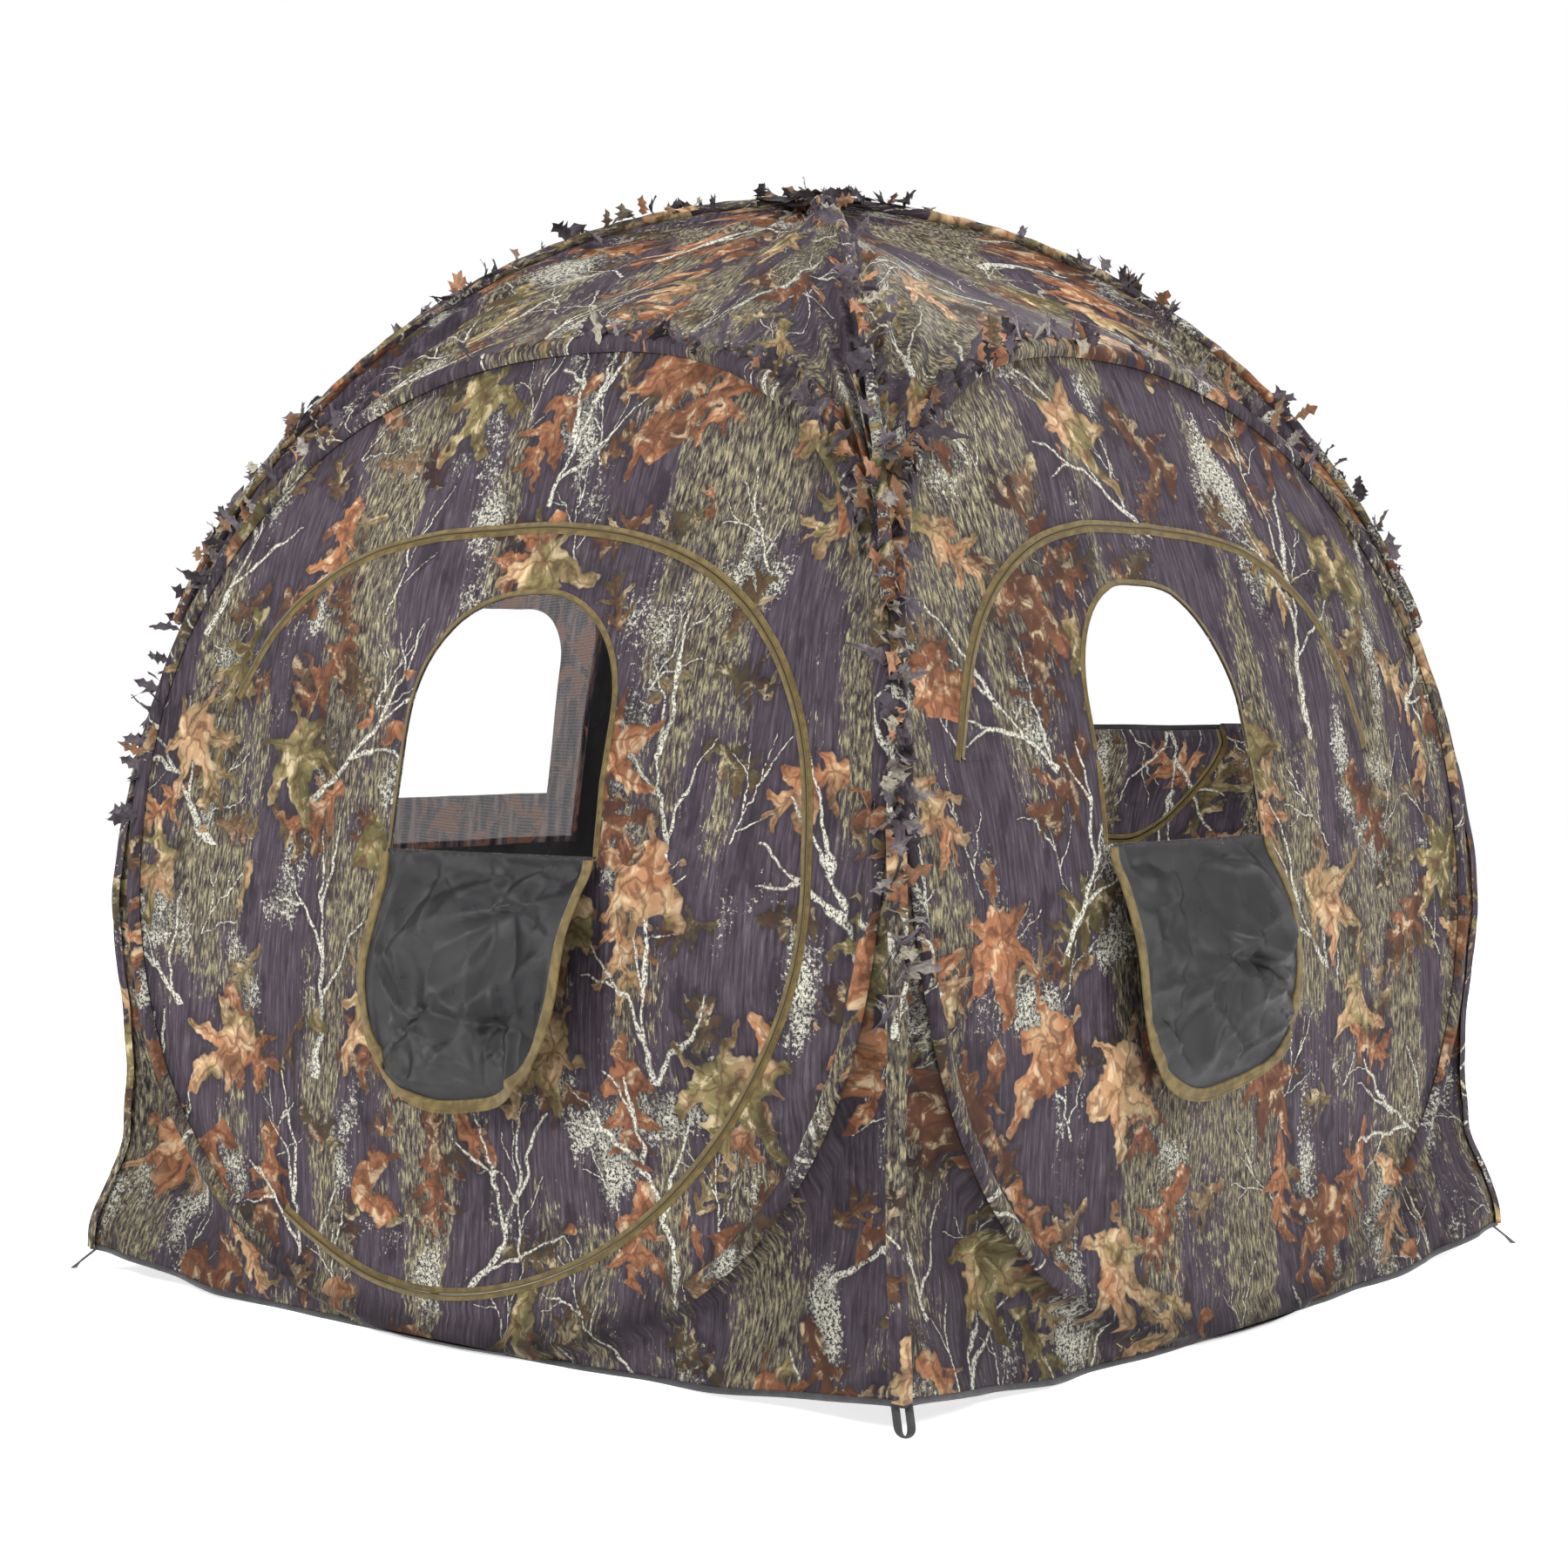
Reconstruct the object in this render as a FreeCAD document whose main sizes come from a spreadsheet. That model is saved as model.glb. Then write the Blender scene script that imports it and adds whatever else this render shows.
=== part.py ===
import FreeCAD, Part
import math
import os

# Pop up ground blind, millimetres. +Z up, origin on the ground under the peak.
# Wall a (the door wall) faces -Y, wall b faces +X, wall c faces +Y, wall d faces -X.
# Each wall piece is drawn for wall a in (u, z), then turned about Z by a quarter turn per wall.

V = FreeCAD.Vector
doc = FreeCAD.newDocument("ground_blind")
sheet = doc.addObject("Spreadsheet::Sheet", "Sizes")

SIZES = {
    # shell: half width at the ground, half width and height where the side starts to curve in
    "base_half": 778, "knee_half": 755, "knee_height": 500, "side_radius": 2150,
    "cabin_span": 1800, "prism_depth": 1000, "mitre_gap": 0.5,
    "cloth": 0.8, "hem_height": 14, "eave_height": 982,
    # spring-steel hoop of each wall
    "hoop_half_width": 707, "hoop_half_height": 672, "hoop_centre": 692, "hoop_power": 2.3,
    "steel_width": 10, "steel_thick": 2, "sleeve_width": 20,
    # crossing roof rods
    "rod_end_spread": 958, "rod_end_height": 1000, "rod_one_top": 1624, "rod_two_top": 1636,
    "rod_radius": 4.75, "rod_bore": 2.2, "cord_radius": 1.5, "ferrule_radius": 6.2,
    "ferrule_bore": 4.85, "ferrule_length": 70, "ridge_bore": 7.2, "ridge_skin": 0.8,
    "pocket_length": 62, "cap_side": 120, "cap_height": 1643.5, "ridge_inset": 9.5,
    # openings
    "sill_height": 662, "window_width": 385, "window_height": 344, "window_corner": 170,
    "side_sill": 678, "side_centre": -117, "door_window_centre": 68,
    "fold_height": 790, "rear_fold": 828, "back_sill": 630, "back_width": 550, "back_tall": 470,
    "back_centre": 25, "back_corner": 150, "mesh_margin": 78,
    # zips and flaps
    "tape_width": 8, "tape_gap": 0.4, "flap_thick": 1.5, "flap_offset": 4.5, "flap_clear": 4,
    "back_flap_tall": 430, "fold_open": 150,
    "slider_wide": 9, "slider_long": 14, "slider_thick": 3, "slider_lift": 2.8,
    "pull_radius": 1.6, "pull_long": 30,
    # ground loops
    "loop_long": 46, "loop_wide": 26, "loop_thick": 1.6, "slot_long": 26, "slot_wide": 14,
}
for row, (alias, value) in enumerate(SIZES.items(), start=1):
    sheet.set("A%d" % row, alias)
    sheet.set("B%d" % row, str(value))
    sheet.setAlias("B%d" % row, alias)
doc.recompute()


def val(alias):
    return float(sheet.get(alias))


NODES = []


def node(obj, turn=0):
    """Marks an object as a sub-part, turned about Z by that many quarter turns."""
    NODES.append(obj)
    if turn:
        quarter = FreeCAD.Placement(V(0, 0, 0), FreeCAD.Rotation(V(0, 0, 1), 90 * turn))
        obj.Placement = quarter.multiply(obj.Placement)
    return obj


def feature(name, shape):
    obj = doc.addObject("Part::Feature", name)
    obj.Shape = shape
    return obj


def boolean(kind, name, base, tool):
    obj = doc.addObject("Part::" + kind, name)
    obj.Base, obj.Tool = base, tool
    return obj


def group(name, members):
    obj = doc.addObject("Part::Compound", name)
    obj.Links = members
    return obj


# ---- the wall's side profile -------------------------------------------------------------

def slope_normal():
    run, rise = val("knee_half") - val("base_half"), val("knee_height")
    length = math.hypot(run, rise)
    return rise / length, -run / length


def half_width(z, offset=0.0):
    """Distance of the wall surface from the centre at height z, offset along its normal."""
    out, up = slope_normal()
    knee = val("knee_height") + offset * up
    if z <= knee:
        lean = (val("base_half") - val("knee_half")) / val("knee_height")
        return val("base_half") - lean * z + offset / out
    radius = val("side_radius")
    centre_w = val("knee_half") - radius * out
    centre_z = val("knee_height") - radius * up
    return centre_w + math.sqrt((radius + offset) ** 2 - (z - centre_z) ** 2)


def profile_edges(offset, low, high, place):
    """The wall's profile from low to high: a straight lower stretch and a tangent arc."""
    out, up = slope_normal()
    knee = val("knee_height") + offset * up
    edges = []
    if low < knee:
        ends = [place(half_width(low, offset), low), place(half_width(knee, offset), knee)]
        edges.append(Part.LineSegment(*ends).toShape())
        low = knee
    heights = [low, (low + high) / 2, high]
    edges.append(Part.Arc(*[place(half_width(z, offset), z) for z in heights]).toShape())
    return edges


def layer(name, near, far, low=0.0, high=1420.0):
    """A curved sheet that follows the wall between two offsets from its cloth."""
    def place(w, z):
        return V(-val("cabin_span") / 2, -w, z)
    inner = profile_edges(near, low, high, place)
    outer = profile_edges(far, low, high, place)
    caps = [Part.LineSegment(place(half_width(z, near), z), place(half_width(z, far), z)).toShape()
            for z in (low, high)]
    face = Part.Face(Part.Wire(Part.__sortEdges__(inner + outer + caps)))
    solid = doc.addObject("Part::Extrusion", name)
    solid.Base = feature(name + "_profile", face)
    solid.DirMode = "Custom"
    solid.Dir = V(1, 0, 0)
    solid.Solid = True
    solid.setExpression("LengthFwd", "Sizes.cabin_span")
    return solid


def prism(name, face):
    """An outline in the wall's plane, pushed right through the wall."""
    solid = doc.addObject("Part::Extrusion", name)
    solid.Base = feature(name + "_outline", face)
    solid.DirMode = "Custom"
    solid.Dir = V(0, -1, 0)
    solid.Solid = True
    solid.setExpression("LengthFwd", "Sizes.prism_depth")
    return solid


def sheet_piece(name, near, far, face, turn=0, low=0.0):
    """The part of a wall layer that lies inside an outline."""
    piece = boolean("Common", name, layer(name + "_layer", near, far, low),
                    prism(name + "_prism", face))
    return node(piece, turn)


# ---- outlines, drawn in the wall's plane -------------------------------------------------

def at(u, z):
    return V(u, 0, z)


def spline(points, closed=False):
    curve = Part.BSplineCurve()
    if closed:
        curve.interpolate(Points=points, PeriodicFlag=True)
    else:
        curve.interpolate(Points=points)
    return curve


def offset_points(curve, distance, count, closed=False):
    """Points beside a plane curve, to its right as it runs, so outside a clockwise one."""
    first, last = curve.FirstParameter, curve.LastParameter
    steps = count if closed else count - 1
    points = []
    for i in range(count):
        t = first + (last - first) * i / steps
        ahead = curve.tangent(t)[0]
        points.append(curve.value(t) + V(-ahead.z, 0, ahead.x) * distance)
    return points


def hoop_curve():
    points = []
    for i in range(48):
        turn = 2 * math.pi * i / 48
        c, s = math.cos(turn), math.sin(turn)
        power = 2 / val("hoop_power")
        u = val("hoop_half_width") * math.copysign(abs(c) ** power, c)
        z = val("hoop_half_height") * math.copysign(abs(s) ** power, s)
        points.append(at(u, val("hoop_centre") - z))
    return spline(points, closed=True)


HOOP = hoop_curve()


def arcs(points):
    """Circular arcs through each point, its next and the one after; an odd number of points."""
    return [Part.Arc(*points[i:i + 3]).toShape() for i in range(0, len(points) - 2, 2)]


def hoop_wire(distance):
    points = offset_points(HOOP, distance, 40, closed=True)
    return Part.Wire(arcs(points + points[:1]))


def hoop_ring(name, half):
    """A ring-shaped block along the hoop, this far to each side of its centre line."""
    return boolean("Cut", name, prism(name + "_outside", Part.Face(hoop_wire(half))),
                   prism(name + "_inside", Part.Face(hoop_wire(-half))))


def box_face(left, right, low, high):
    corners = [at(left, low), at(right, low), at(right, high), at(left, high), at(left, low)]
    return Part.Face(Part.makePolygon(corners))


def path_curve(points):
    return spline([at(u, z) for u, z in points])


def ribbon(curve, near, far):
    """The strip between two offsets of an open curve."""
    one = offset_points(curve, near, 33)
    two = offset_points(curve, far, 33)
    ends = [Part.LineSegment(one[i], two[i]).toShape() for i in (0, -1)]
    return Part.Face(Part.Wire(Part.__sortEdges__(arcs(one) + arcs(two) + ends)))


def region(curve, distance, first_end, last_end):
    """The face inside an offset of an open curve, closed through two given points."""
    edge = offset_points(curve, distance, 33)
    a, b = at(*first_end), at(*last_end)
    lines = [Part.LineSegment(edge[-1], b), Part.LineSegment(b, a), Part.LineSegment(a, edge[0])]
    return Part.Face(Part.Wire(Part.__sortEdges__(arcs(edge) + [s.toShape() for s in lines])))


def arch(centre, width, sill, tall, corner, grow=0.0, hang=False):
    """A window outline with a flat sill and two round corners; hang turns it below the sill."""
    half, round_r = width / 2 + grow, corner + grow
    side = -1 if hang else 1
    top = sill + side * (tall + grow)
    bend = top - side * round_r
    quarter = round_r * (1 - math.sqrt(0.5))
    left, right = centre - half, centre + half
    return [
        Part.LineSegment(at(left, sill), at(left, bend)).toShape(),
        Part.Arc(at(left, bend), at(left + quarter, top - side * quarter),
                 at(left + round_r, top)).toShape(),
        Part.LineSegment(at(left + round_r, top), at(right - round_r, top)).toShape(),
        Part.Arc(at(right - round_r, top), at(right - quarter, top - side * quarter),
                 at(right, bend)).toShape(),
        Part.LineSegment(at(right, bend), at(right, sill)).toShape(),
    ]


def arch_face(*args, **kwargs):
    edges = arch(*args, **kwargs)
    start, stop = edges[0].Vertexes[0].Point, edges[-1].Vertexes[-1].Point
    return Part.Face(Part.Wire(edges + [Part.LineSegment(stop, start).toShape()]))


def arch_band(near, far, *args, **kwargs):
    """The strip along an arch between two amounts of growth, open at the sill."""
    inner = arch(*args, grow=near, **kwargs)
    outer = arch(*args, grow=far, **kwargs)
    ends = [Part.LineSegment(inner[i].Vertexes[i].Point, outer[i].Vertexes[i].Point).toShape()
            for i in (0, -1)]
    return Part.Face(Part.Wire(Part.__sortEdges__(inner + outer + ends)))


def oval(centre, sides, rises, powers, angles):
    """Points on a rounded outline whose four quarters differ in reach and in fullness."""
    points = []
    for angle in angles:
        c, s = math.cos(math.radians(angle)), math.sin(math.radians(angle))
        power = powers[(0 if s > 0 else 2) + (1 if c > 0 else 0)]
        reach = sides[1 if c > 0 else 0] * abs(c) ** (2 / power)
        rise = rises[0 if s > 0 else 1] * abs(s) ** (2 / power)
        points.append((centre[0] + math.copysign(reach, c), centre[1] + math.copysign(rise, s)))
    return points


# Each outline runs clockwise: reach to the left and right, rise up and down, and the fullness of
# the upper left, upper right, lower left and lower right quarters.
DOOR_OVAL = ((-10, 625), (545, 610), (475, 555), (2.65, 2.5, 2.3, 1.8))
PANEL_OVAL = ((-30, 500), (580, 460), (605, 605), (2.9, 2.9, 2.9, 2.9))
# The door zip goes from the upper end of the hinge line over the door to its lower end.
DOOR_TOP, DOOR_FOOT = (-517, 873), (-326, 145)
DOOR_ZIP = path_curve([DOOR_TOP] + oval(*DOOR_OVAL, range(140, -110, -15)) + [DOOR_FOOT])
# The shooting panel's zip goes over the panel from one end of its fold line to the other.
PANEL_ENDS, PANEL_ZIP_FOOT = (-590, 415), 790
PANEL_ZIP = path_curve([(PANEL_ENDS[0], PANEL_ZIP_FOOT)] + oval(*PANEL_OVAL, range(150, 29, -12))
                       + [(PANEL_ENDS[1], PANEL_ZIP_FOOT)])
SIDE_WINDOW = (val("side_centre"), val("window_width"), val("side_sill"),
               val("window_height"), val("window_corner"))
DOOR_WINDOW = (val("door_window_centre"), val("window_width"), val("sill_height"),
               val("window_height"), val("window_corner"))
BACK_WINDOW = (val("back_centre"), val("back_width"), val("back_sill"),
               val("back_tall"), val("back_corner"))
WALLS = ["a", "b", "c", "d"]
CLOTH = val("cloth")
TAPE = (CLOTH + 0.1, CLOTH + 0.9)
EDGE = 3.0


# ---- walls -------------------------------------------------------------------------------

def wall_outline(name):
    """Full width up to the eave, and only inside the hoop's sleeve above it."""
    low, eave = val("hem_height") + 0.5, val("eave_height")
    lower = prism(name + "_lower", box_face(-850, 850, low, eave))
    inside = Part.Face(hoop_wire(val("sleeve_width") / 2)).common(box_face(-850, 850, low, 1500))
    return boolean("Fuse", name, lower, prism(name + "_upper", inside.Faces[0]))


def wedge(name):
    gap = val("mitre_gap")
    corners = [V(0, -gap, 0), V(-900, -900 - gap, 0), V(900, -900 - gap, 0), V(0, -gap, 0)]
    solid = doc.addObject("Part::Extrusion", name)
    solid.Base = feature(name + "_outline", Part.Face(Part.makePolygon(corners)))
    solid.DirMode = "Custom"
    solid.Dir = V(0, 0, 1)
    solid.Solid = True
    solid.LengthFwd = 1700
    return solid


def wall(letter, turn, holes):
    name = "wall_" + letter
    body = boolean("Common", name + "_sheet", layer(name + "_layer", 0, CLOTH),
                   wall_outline(name + "_outline"))
    body = boolean("Common", name if not holes else name + "_mitred", body, wedge(name + "_wedge"))
    for i, face in enumerate(holes):
        last = i == len(holes) - 1
        cutter = prism("%s_hole_%d" % (name, i), face)
        body = boolean("Cut", name if last else "%s_cut_%d" % (name, i), body, cutter)
    node(body, turn)


door_hole = region(DOOR_ZIP, EDGE, (DOOR_TOP[0] - 16, DOOR_TOP[1]), (DOOR_FOOT[0] - 16, DOOR_FOOT[1]))
FOLDS = {"b": val("fold_height"), "c": val("rear_fold")}


def above(face, height):
    return face.common(box_face(-900, 900, height, 1500)).Faces[0]


def panel_hole(fold):
    """The hole that a shooting panel leaves when it is open, down to just below its fold line."""
    foot = PANEL_ZIP_FOOT - 30
    return above(region(PANEL_ZIP, EDGE, (PANEL_ENDS[0] - EDGE, foot),
                        (PANEL_ENDS[1] + EDGE, foot)), fold - 3)


wall("a", 0, [door_hole])
wall("b", 1, [panel_hole(FOLDS["b"]), arch_face(*SIDE_WINDOW)])
wall("c", 2, [panel_hole(FOLDS["c"])])
wall("d", 3, [arch_face(*BACK_WINDOW)])

# ---- hoops, their sleeves, and the cut-leaf trim sewn over them --------------------------
sleeve_half = val("sleeve_width") / 2
steel_half = val("steel_width") / 2
steel_near = CLOTH + 0.7
steel_far = steel_near + val("steel_thick")
for turn, letter in enumerate(WALLS):
    outside = boolean("Common", "sleeve_block_" + letter,
                      layer("sleeve_layer_" + letter, CLOTH + 0.1, steel_far + 0.7),
                      hoop_ring("sleeve_ring_" + letter, sleeve_half))
    channel = boolean("Common", "sleeve_channel_" + letter,
                      layer("channel_layer_" + letter, steel_near - 0.2, steel_far + 0.2),
                      hoop_ring("channel_ring_" + letter, steel_half + 0.4))
    node(boolean("Cut", "hoop_sleeve_" + letter, outside, channel), turn)
    node(boolean("Common", "steel_hoop_" + letter,
                 layer("steel_layer_" + letter, steel_near, steel_far),
                 hoop_ring("steel_ring_" + letter, steel_half)), turn)

trims = []
for turn, letter in enumerate(WALLS):
    strip = boolean("Common", "trim_" + letter,
                    layer("trim_layer_" + letter, steel_far + 0.8, steel_far + 1.8, 560),
                    hoop_ring("trim_ring_" + letter, 9))
    strip.Placement = FreeCAD.Placement(V(0, 0, 0), FreeCAD.Rotation(V(0, 0, 1), 90 * turn))
    trims.append(strip)
node(group("leaf_trims", trims))

# ---- hem and corners ---------------------------------------------------------------------
hems = []
for turn, letter in enumerate(WALLS):
    strip = boolean("Common", "hem_" + letter,
                    layer("hem_layer_" + letter, -1.2, CLOTH),
                    prism("hem_prism_" + letter, box_face(-850, 850, 0, val("hem_height"))))
    strip = boolean("Common", "hem_mitred_" + letter, strip, wedge("hem_wedge_" + letter))
    strip.Placement = FreeCAD.Placement(V(0, 0, 0), FreeCAD.Rotation(V(0, 0, 1), 90 * turn))
    hems.append(strip)
node(group("hem_bindings", hems))

CORNERS = [-45, 45, 135, 225]


def corner_strip(name, angle):
    """A ribbon that covers the seam of two walls, from the hem to the rod pocket."""
    heights = [18, 200, 400, 600, 800, 960]
    near = [V(math.sqrt(2) * half_width(z) + 2.4, -11, z) for z in heights]
    far = [p + V(1.2, 0, 0) for p in near]
    edges = [spline(near).toShape(), spline(far).toShape(),
             Part.LineSegment(near[0], far[0]).toShape(),
             Part.LineSegment(near[-1], far[-1]).toShape()]
    solid = doc.addObject("Part::Extrusion", name)
    solid.Base = feature(name + "_profile", Part.Face(Part.Wire(Part.__sortEdges__(edges))))
    solid.DirMode = "Custom"
    solid.Dir = V(0, 1, 0)
    solid.LengthFwd = 22
    solid.Solid = True
    solid.Placement = FreeCAD.Placement(V(0, 0, 0), FreeCAD.Rotation(V(0, 0, 1), angle))
    return solid


node(group("corner_bindings", [corner_strip("corner_%d" % i, a) for i, a in enumerate(CORNERS)]))


def ground_loop(name, angle):
    """A webbing loop at the foot of a corner, with a slot for a stake."""
    ring = doc.addObject("Part::Box", name + "_web")
    ring.setExpression("Length", "Sizes.loop_long")
    ring.setExpression("Width", "Sizes.loop_wide")
    ring.setExpression("Height", "Sizes.loop_thick")
    slot = doc.addObject("Part::Box", name + "_slot")
    slot.setExpression("Length", "Sizes.slot_long")
    slot.setExpression("Width", "Sizes.slot_wide")
    slot.setExpression("Height", "Sizes.loop_thick + 2")
    start = math.sqrt(2) * val("base_half") + 3
    ring.Placement.Base = V(start, -val("loop_wide") / 2, 1.0)
    slot.Placement.Base = V(start + 13, -val("slot_wide") / 2, 0)
    loop = boolean("Cut", name, ring, slot)
    loop.Placement = FreeCAD.Placement(V(0, 0, 0), FreeCAD.Rotation(V(0, 0, 1), angle))
    return loop


node(group("ground_loops", [ground_loop("loop_%d" % i, a) for i, a in enumerate(CORNERS)]))

# ---- crossing roof rods ------------------------------------------------------------------

def rod_arc(top):
    """Radius and centre height of a rod bowed from corner pocket to corner pocket."""
    rise = top - val("rod_end_height")
    radius = (val("rod_end_spread") ** 2 + rise ** 2) / (2 * rise)
    return radius, top - radius


def arc_tube(name, top_alias, tube_expression, start, sweep, heading):
    """A bar bent along the rod's arc; angles in degrees from the horizontal."""
    radius, centre = rod_arc(val(top_alias))
    rise = "(Sizes.%s - Sizes.rod_end_height)" % top_alias
    tube = doc.addObject("Part::Torus", name)
    tube.setExpression("Radius1", "(Sizes.rod_end_spread ^ 2 + %s ^ 2) / (2 * %s)" % (rise, rise))
    tube.setExpression("Radius2", tube_expression)
    tube.Angle3 = sweep
    turn = FreeCAD.Rotation(V(0, 0, 1), heading).multiply(FreeCAD.Rotation(V(1, 0, 0), 90))
    turn = turn.multiply(FreeCAD.Rotation(V(0, 0, 1), start))
    tube.Placement = FreeCAD.Placement(V(0, 0, centre), turn)
    return tube


def hollow_arc(name, top_alias, outer, inner, start, sweep, heading):
    return boolean("Cut", name, arc_tube(name + "_outer", top_alias, outer, start, sweep, heading),
                   arc_tube(name + "_inner", top_alias, inner, start - 0.05, sweep + 0.1, heading))


RODS = [("one", "rod_one_top", -45), ("two", "rod_two_top", 45)]
SEGMENTS = 5
rod_bars, ferrules, rod_cords, tips, pockets, ridges = [], [], [], [], [], []
for word, top_alias, heading in RODS:
    radius, centre = rod_arc(val(top_alias))
    low = math.degrees(math.atan2(val("rod_end_height") - centre, val("rod_end_spread")))
    span = 180 - 2 * low
    gap = math.degrees(1.0 / radius)
    step = span / SEGMENTS
    bars = [hollow_arc("rod_%s_bar_%d" % (word, i), top_alias, "Sizes.rod_radius", "Sizes.rod_bore",
                       low + step * i + gap, step - 2 * gap, heading) for i in range(SEGMENTS)]
    rod_bars += bars
    rod_cords.append(arc_tube("rod_%s_cord" % word, top_alias, "Sizes.cord_radius",
                              low + 2 * gap, span - 4 * gap, heading))
    sleeve_sweep = math.degrees(val("ferrule_length") / radius)
    for i in range(1, SEGMENTS):
        ferrules.append(hollow_arc("ferrule_%s_%d" % (word, i), top_alias, "Sizes.ferrule_radius",
                                   "Sizes.ferrule_bore", low + step * i - sleeve_sweep / 2,
                                   sleeve_sweep, heading))
    pocket_sweep = math.degrees(val("pocket_length") / radius)
    tip_sweep = math.degrees(6.0 / radius)
    for end in (0, 1):
        def ends(start, sweep):
            return start if end == 0 else 180 - start - sweep
        tips.append(arc_tube("tip_%s_%d" % (word, end), top_alias, "Sizes.rod_radius",
                             ends(low - tip_sweep, tip_sweep), tip_sweep, heading))
        floor = low - tip_sweep - 2 * gap
        cup = hollow_arc("pocket_%s_%d_side" % (word, end), top_alias, "Sizes.ridge_bore + 1.2",
                         "Sizes.ridge_bore", ends(floor, pocket_sweep), pocket_sweep, heading)
        foot = arc_tube("pocket_%s_%d_foot" % (word, end), top_alias, "Sizes.ridge_bore + 1.2",
                        ends(floor - 2 * gap, 2 * gap), 2 * gap, heading)
        pockets.append(boolean("Fuse", "pocket_%s_%d" % (word, end), cup, foot))
        ridge_start = floor + pocket_sweep + 2 * gap
        ridge_sweep = 90 - math.degrees(85 / radius) - ridge_start
        ridges.append(hollow_arc("ridge_%s_%d" % (word, end), top_alias,
                                 "Sizes.ridge_bore + Sizes.ridge_skin", "Sizes.ridge_bore",
                                 ends(ridge_start, ridge_sweep), ridge_sweep, heading))
node(group("roof_rods", rod_bars))
node(group("rod_ferrules", ferrules))
node(group("rod_shock_cords", rod_cords))
node(group("rod_tips", tips))
node(group("rod_pockets", pockets))
node(group("ridge_sleeves", ridges))

cap = doc.addObject("Part::Box", "roof_cap")
cap.setExpression("Length", "Sizes.cap_side")
cap.setExpression("Width", "Sizes.cap_side")
cap.setExpression("Height", "Sizes.cloth")
cap.Placement.Base = V(-val("cap_side") / 2, -val("cap_side") / 2, val("cap_height"))
node(cap)

# ---- roof panels -------------------------------------------------------------------------
RIDGE_GAP = 13.0


def eave_points(count):
    """Points along the upper part of the hoop, just outside its sleeve, left to right."""
    arc = [p for p in offset_points(HOOP, sleeve_half + 4, 400, closed=True)
           if p.z >= val("eave_height")]
    arc.sort(key=lambda p: p.x)
    return [arc[round(i * (len(arc) - 1) / (count - 1))] for i in range(count)]


def ridge_point(top, corner, t):
    """Distance from the centre and height of a panel's ridge edge, under its rod's arc."""
    radius, centre = rod_arc(top)
    radius -= val("ridge_inset")
    low = math.asin((corner.z - centre) / radius)
    angle = low + (math.pi / 2 - low) * t
    return radius * math.cos(angle) / math.sqrt(2), centre + radius * math.sin(angle)


def roof_panel(name, turn):
    """A cloth gore from the hoop's upper arc to the peak, between two ridge sleeves."""
    across, up = 11, 9
    eave = eave_points(across)
    corner = V(eave[-1].x, -half_width(eave[-1].z), eave[-1].z)
    tops = [val("rod_one_top"), val("rod_two_top")]
    side_tops = tops if turn % 2 else tops[::-1]
    peak = V(0, 0, sum(tops) / 2 - val("ridge_inset"))
    grid = []
    for j in range(up):
        t = 0.93 * j / (up - 1)
        row = []
        for i, p in enumerate(eave):
            s = 2 * i / (across - 1) - 1
            foot = V(p.x, -half_width(p.z), p.z)
            side = 1 if s >= 0 else -1
            out, height = ridge_point(side_tops[side > 0], corner, t)
            ridge = V(side * (out - RIDGE_GAP), -out, height)
            straight = V(side * corner.x, corner.y, corner.z) * (1 - t) + peak * t
            row.append(foot * (1 - t) + peak * t + (ridge - straight) * (s * s))
        grid.append(row)
    surface = Part.BSplineSurface()
    surface.interpolate(grid)
    solid = surface.toShape().makeOffsetShape(-CLOTH, 0.01, fill=True)
    if solid.ShapeType != "Solid":
        solid = Part.Solid(solid.Shells[0])
    if solid.Volume < 0:
        solid.reverse()
    return node(feature(name, solid), turn)


for turn, letter in enumerate(WALLS):
    roof_panel("roof_panel_" + letter, turn)


# ---- door, shooting panels, zips ---------------------------------------------------------
tape_near, tape_far = val("tape_gap"), val("tape_gap") + val("tape_width")

door_outline = region(DOOR_ZIP, -EDGE, (DOOR_TOP[0] + 5, DOOR_TOP[1] - 3),
                      (DOOR_FOOT[0] + 5, DOOR_FOOT[1] + 3))
sheet_piece("door_panel", 0, CLOTH, door_outline.cut(arch_face(*DOOR_WINDOW)).Faces[0])
sheet_piece("door_zip_wall_half", *TAPE, ribbon(DOOR_ZIP, tape_near, tape_far))
sheet_piece("door_zip_door_half", *TAPE, ribbon(DOOR_ZIP, -tape_near, -tape_far))

panel_outline = region(PANEL_ZIP, -EDGE, (PANEL_ENDS[0] + EDGE, PANEL_ZIP_FOOT - 30),
                       (PANEL_ENDS[1] - EDGE, PANEL_ZIP_FOOT - 30))
panel_outline = panel_outline.cut(arch_face(*SIDE_WINDOW))


def folded(obj):
    """Swings a piece of the back shooting panel inwards and down about its fold line."""
    hinge = V(0, half_width(FOLDS["c"], CLOTH / 2), FOLDS["c"])
    turn = FreeCAD.Rotation(V(1, 0, 0), val("fold_open"))
    swing = FreeCAD.Placement(V(0, 0, 0), turn, hinge)
    obj.Placement = swing.multiply(obj.Placement)


inner_tape = ribbon(PANEL_ZIP, -tape_near, -tape_far)
outer_tape = ribbon(PANEL_ZIP, tape_near, tape_far)
for letter, turn in (("b", 1), ("c", 2)):
    fold = FOLDS[letter]
    panel = sheet_piece("arc_panel_" + letter, 0, CLOTH, above(panel_outline, fold + 3), turn)
    tape = sheet_piece("arc_zip_panel_half_" + letter, *TAPE, above(inner_tape, fold + 4), turn)
    sheet_piece("arc_zip_wall_half_" + letter, *TAPE, outer_tape, turn)
    if letter == "c":
        folded(panel)
        folded(tape)

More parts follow.
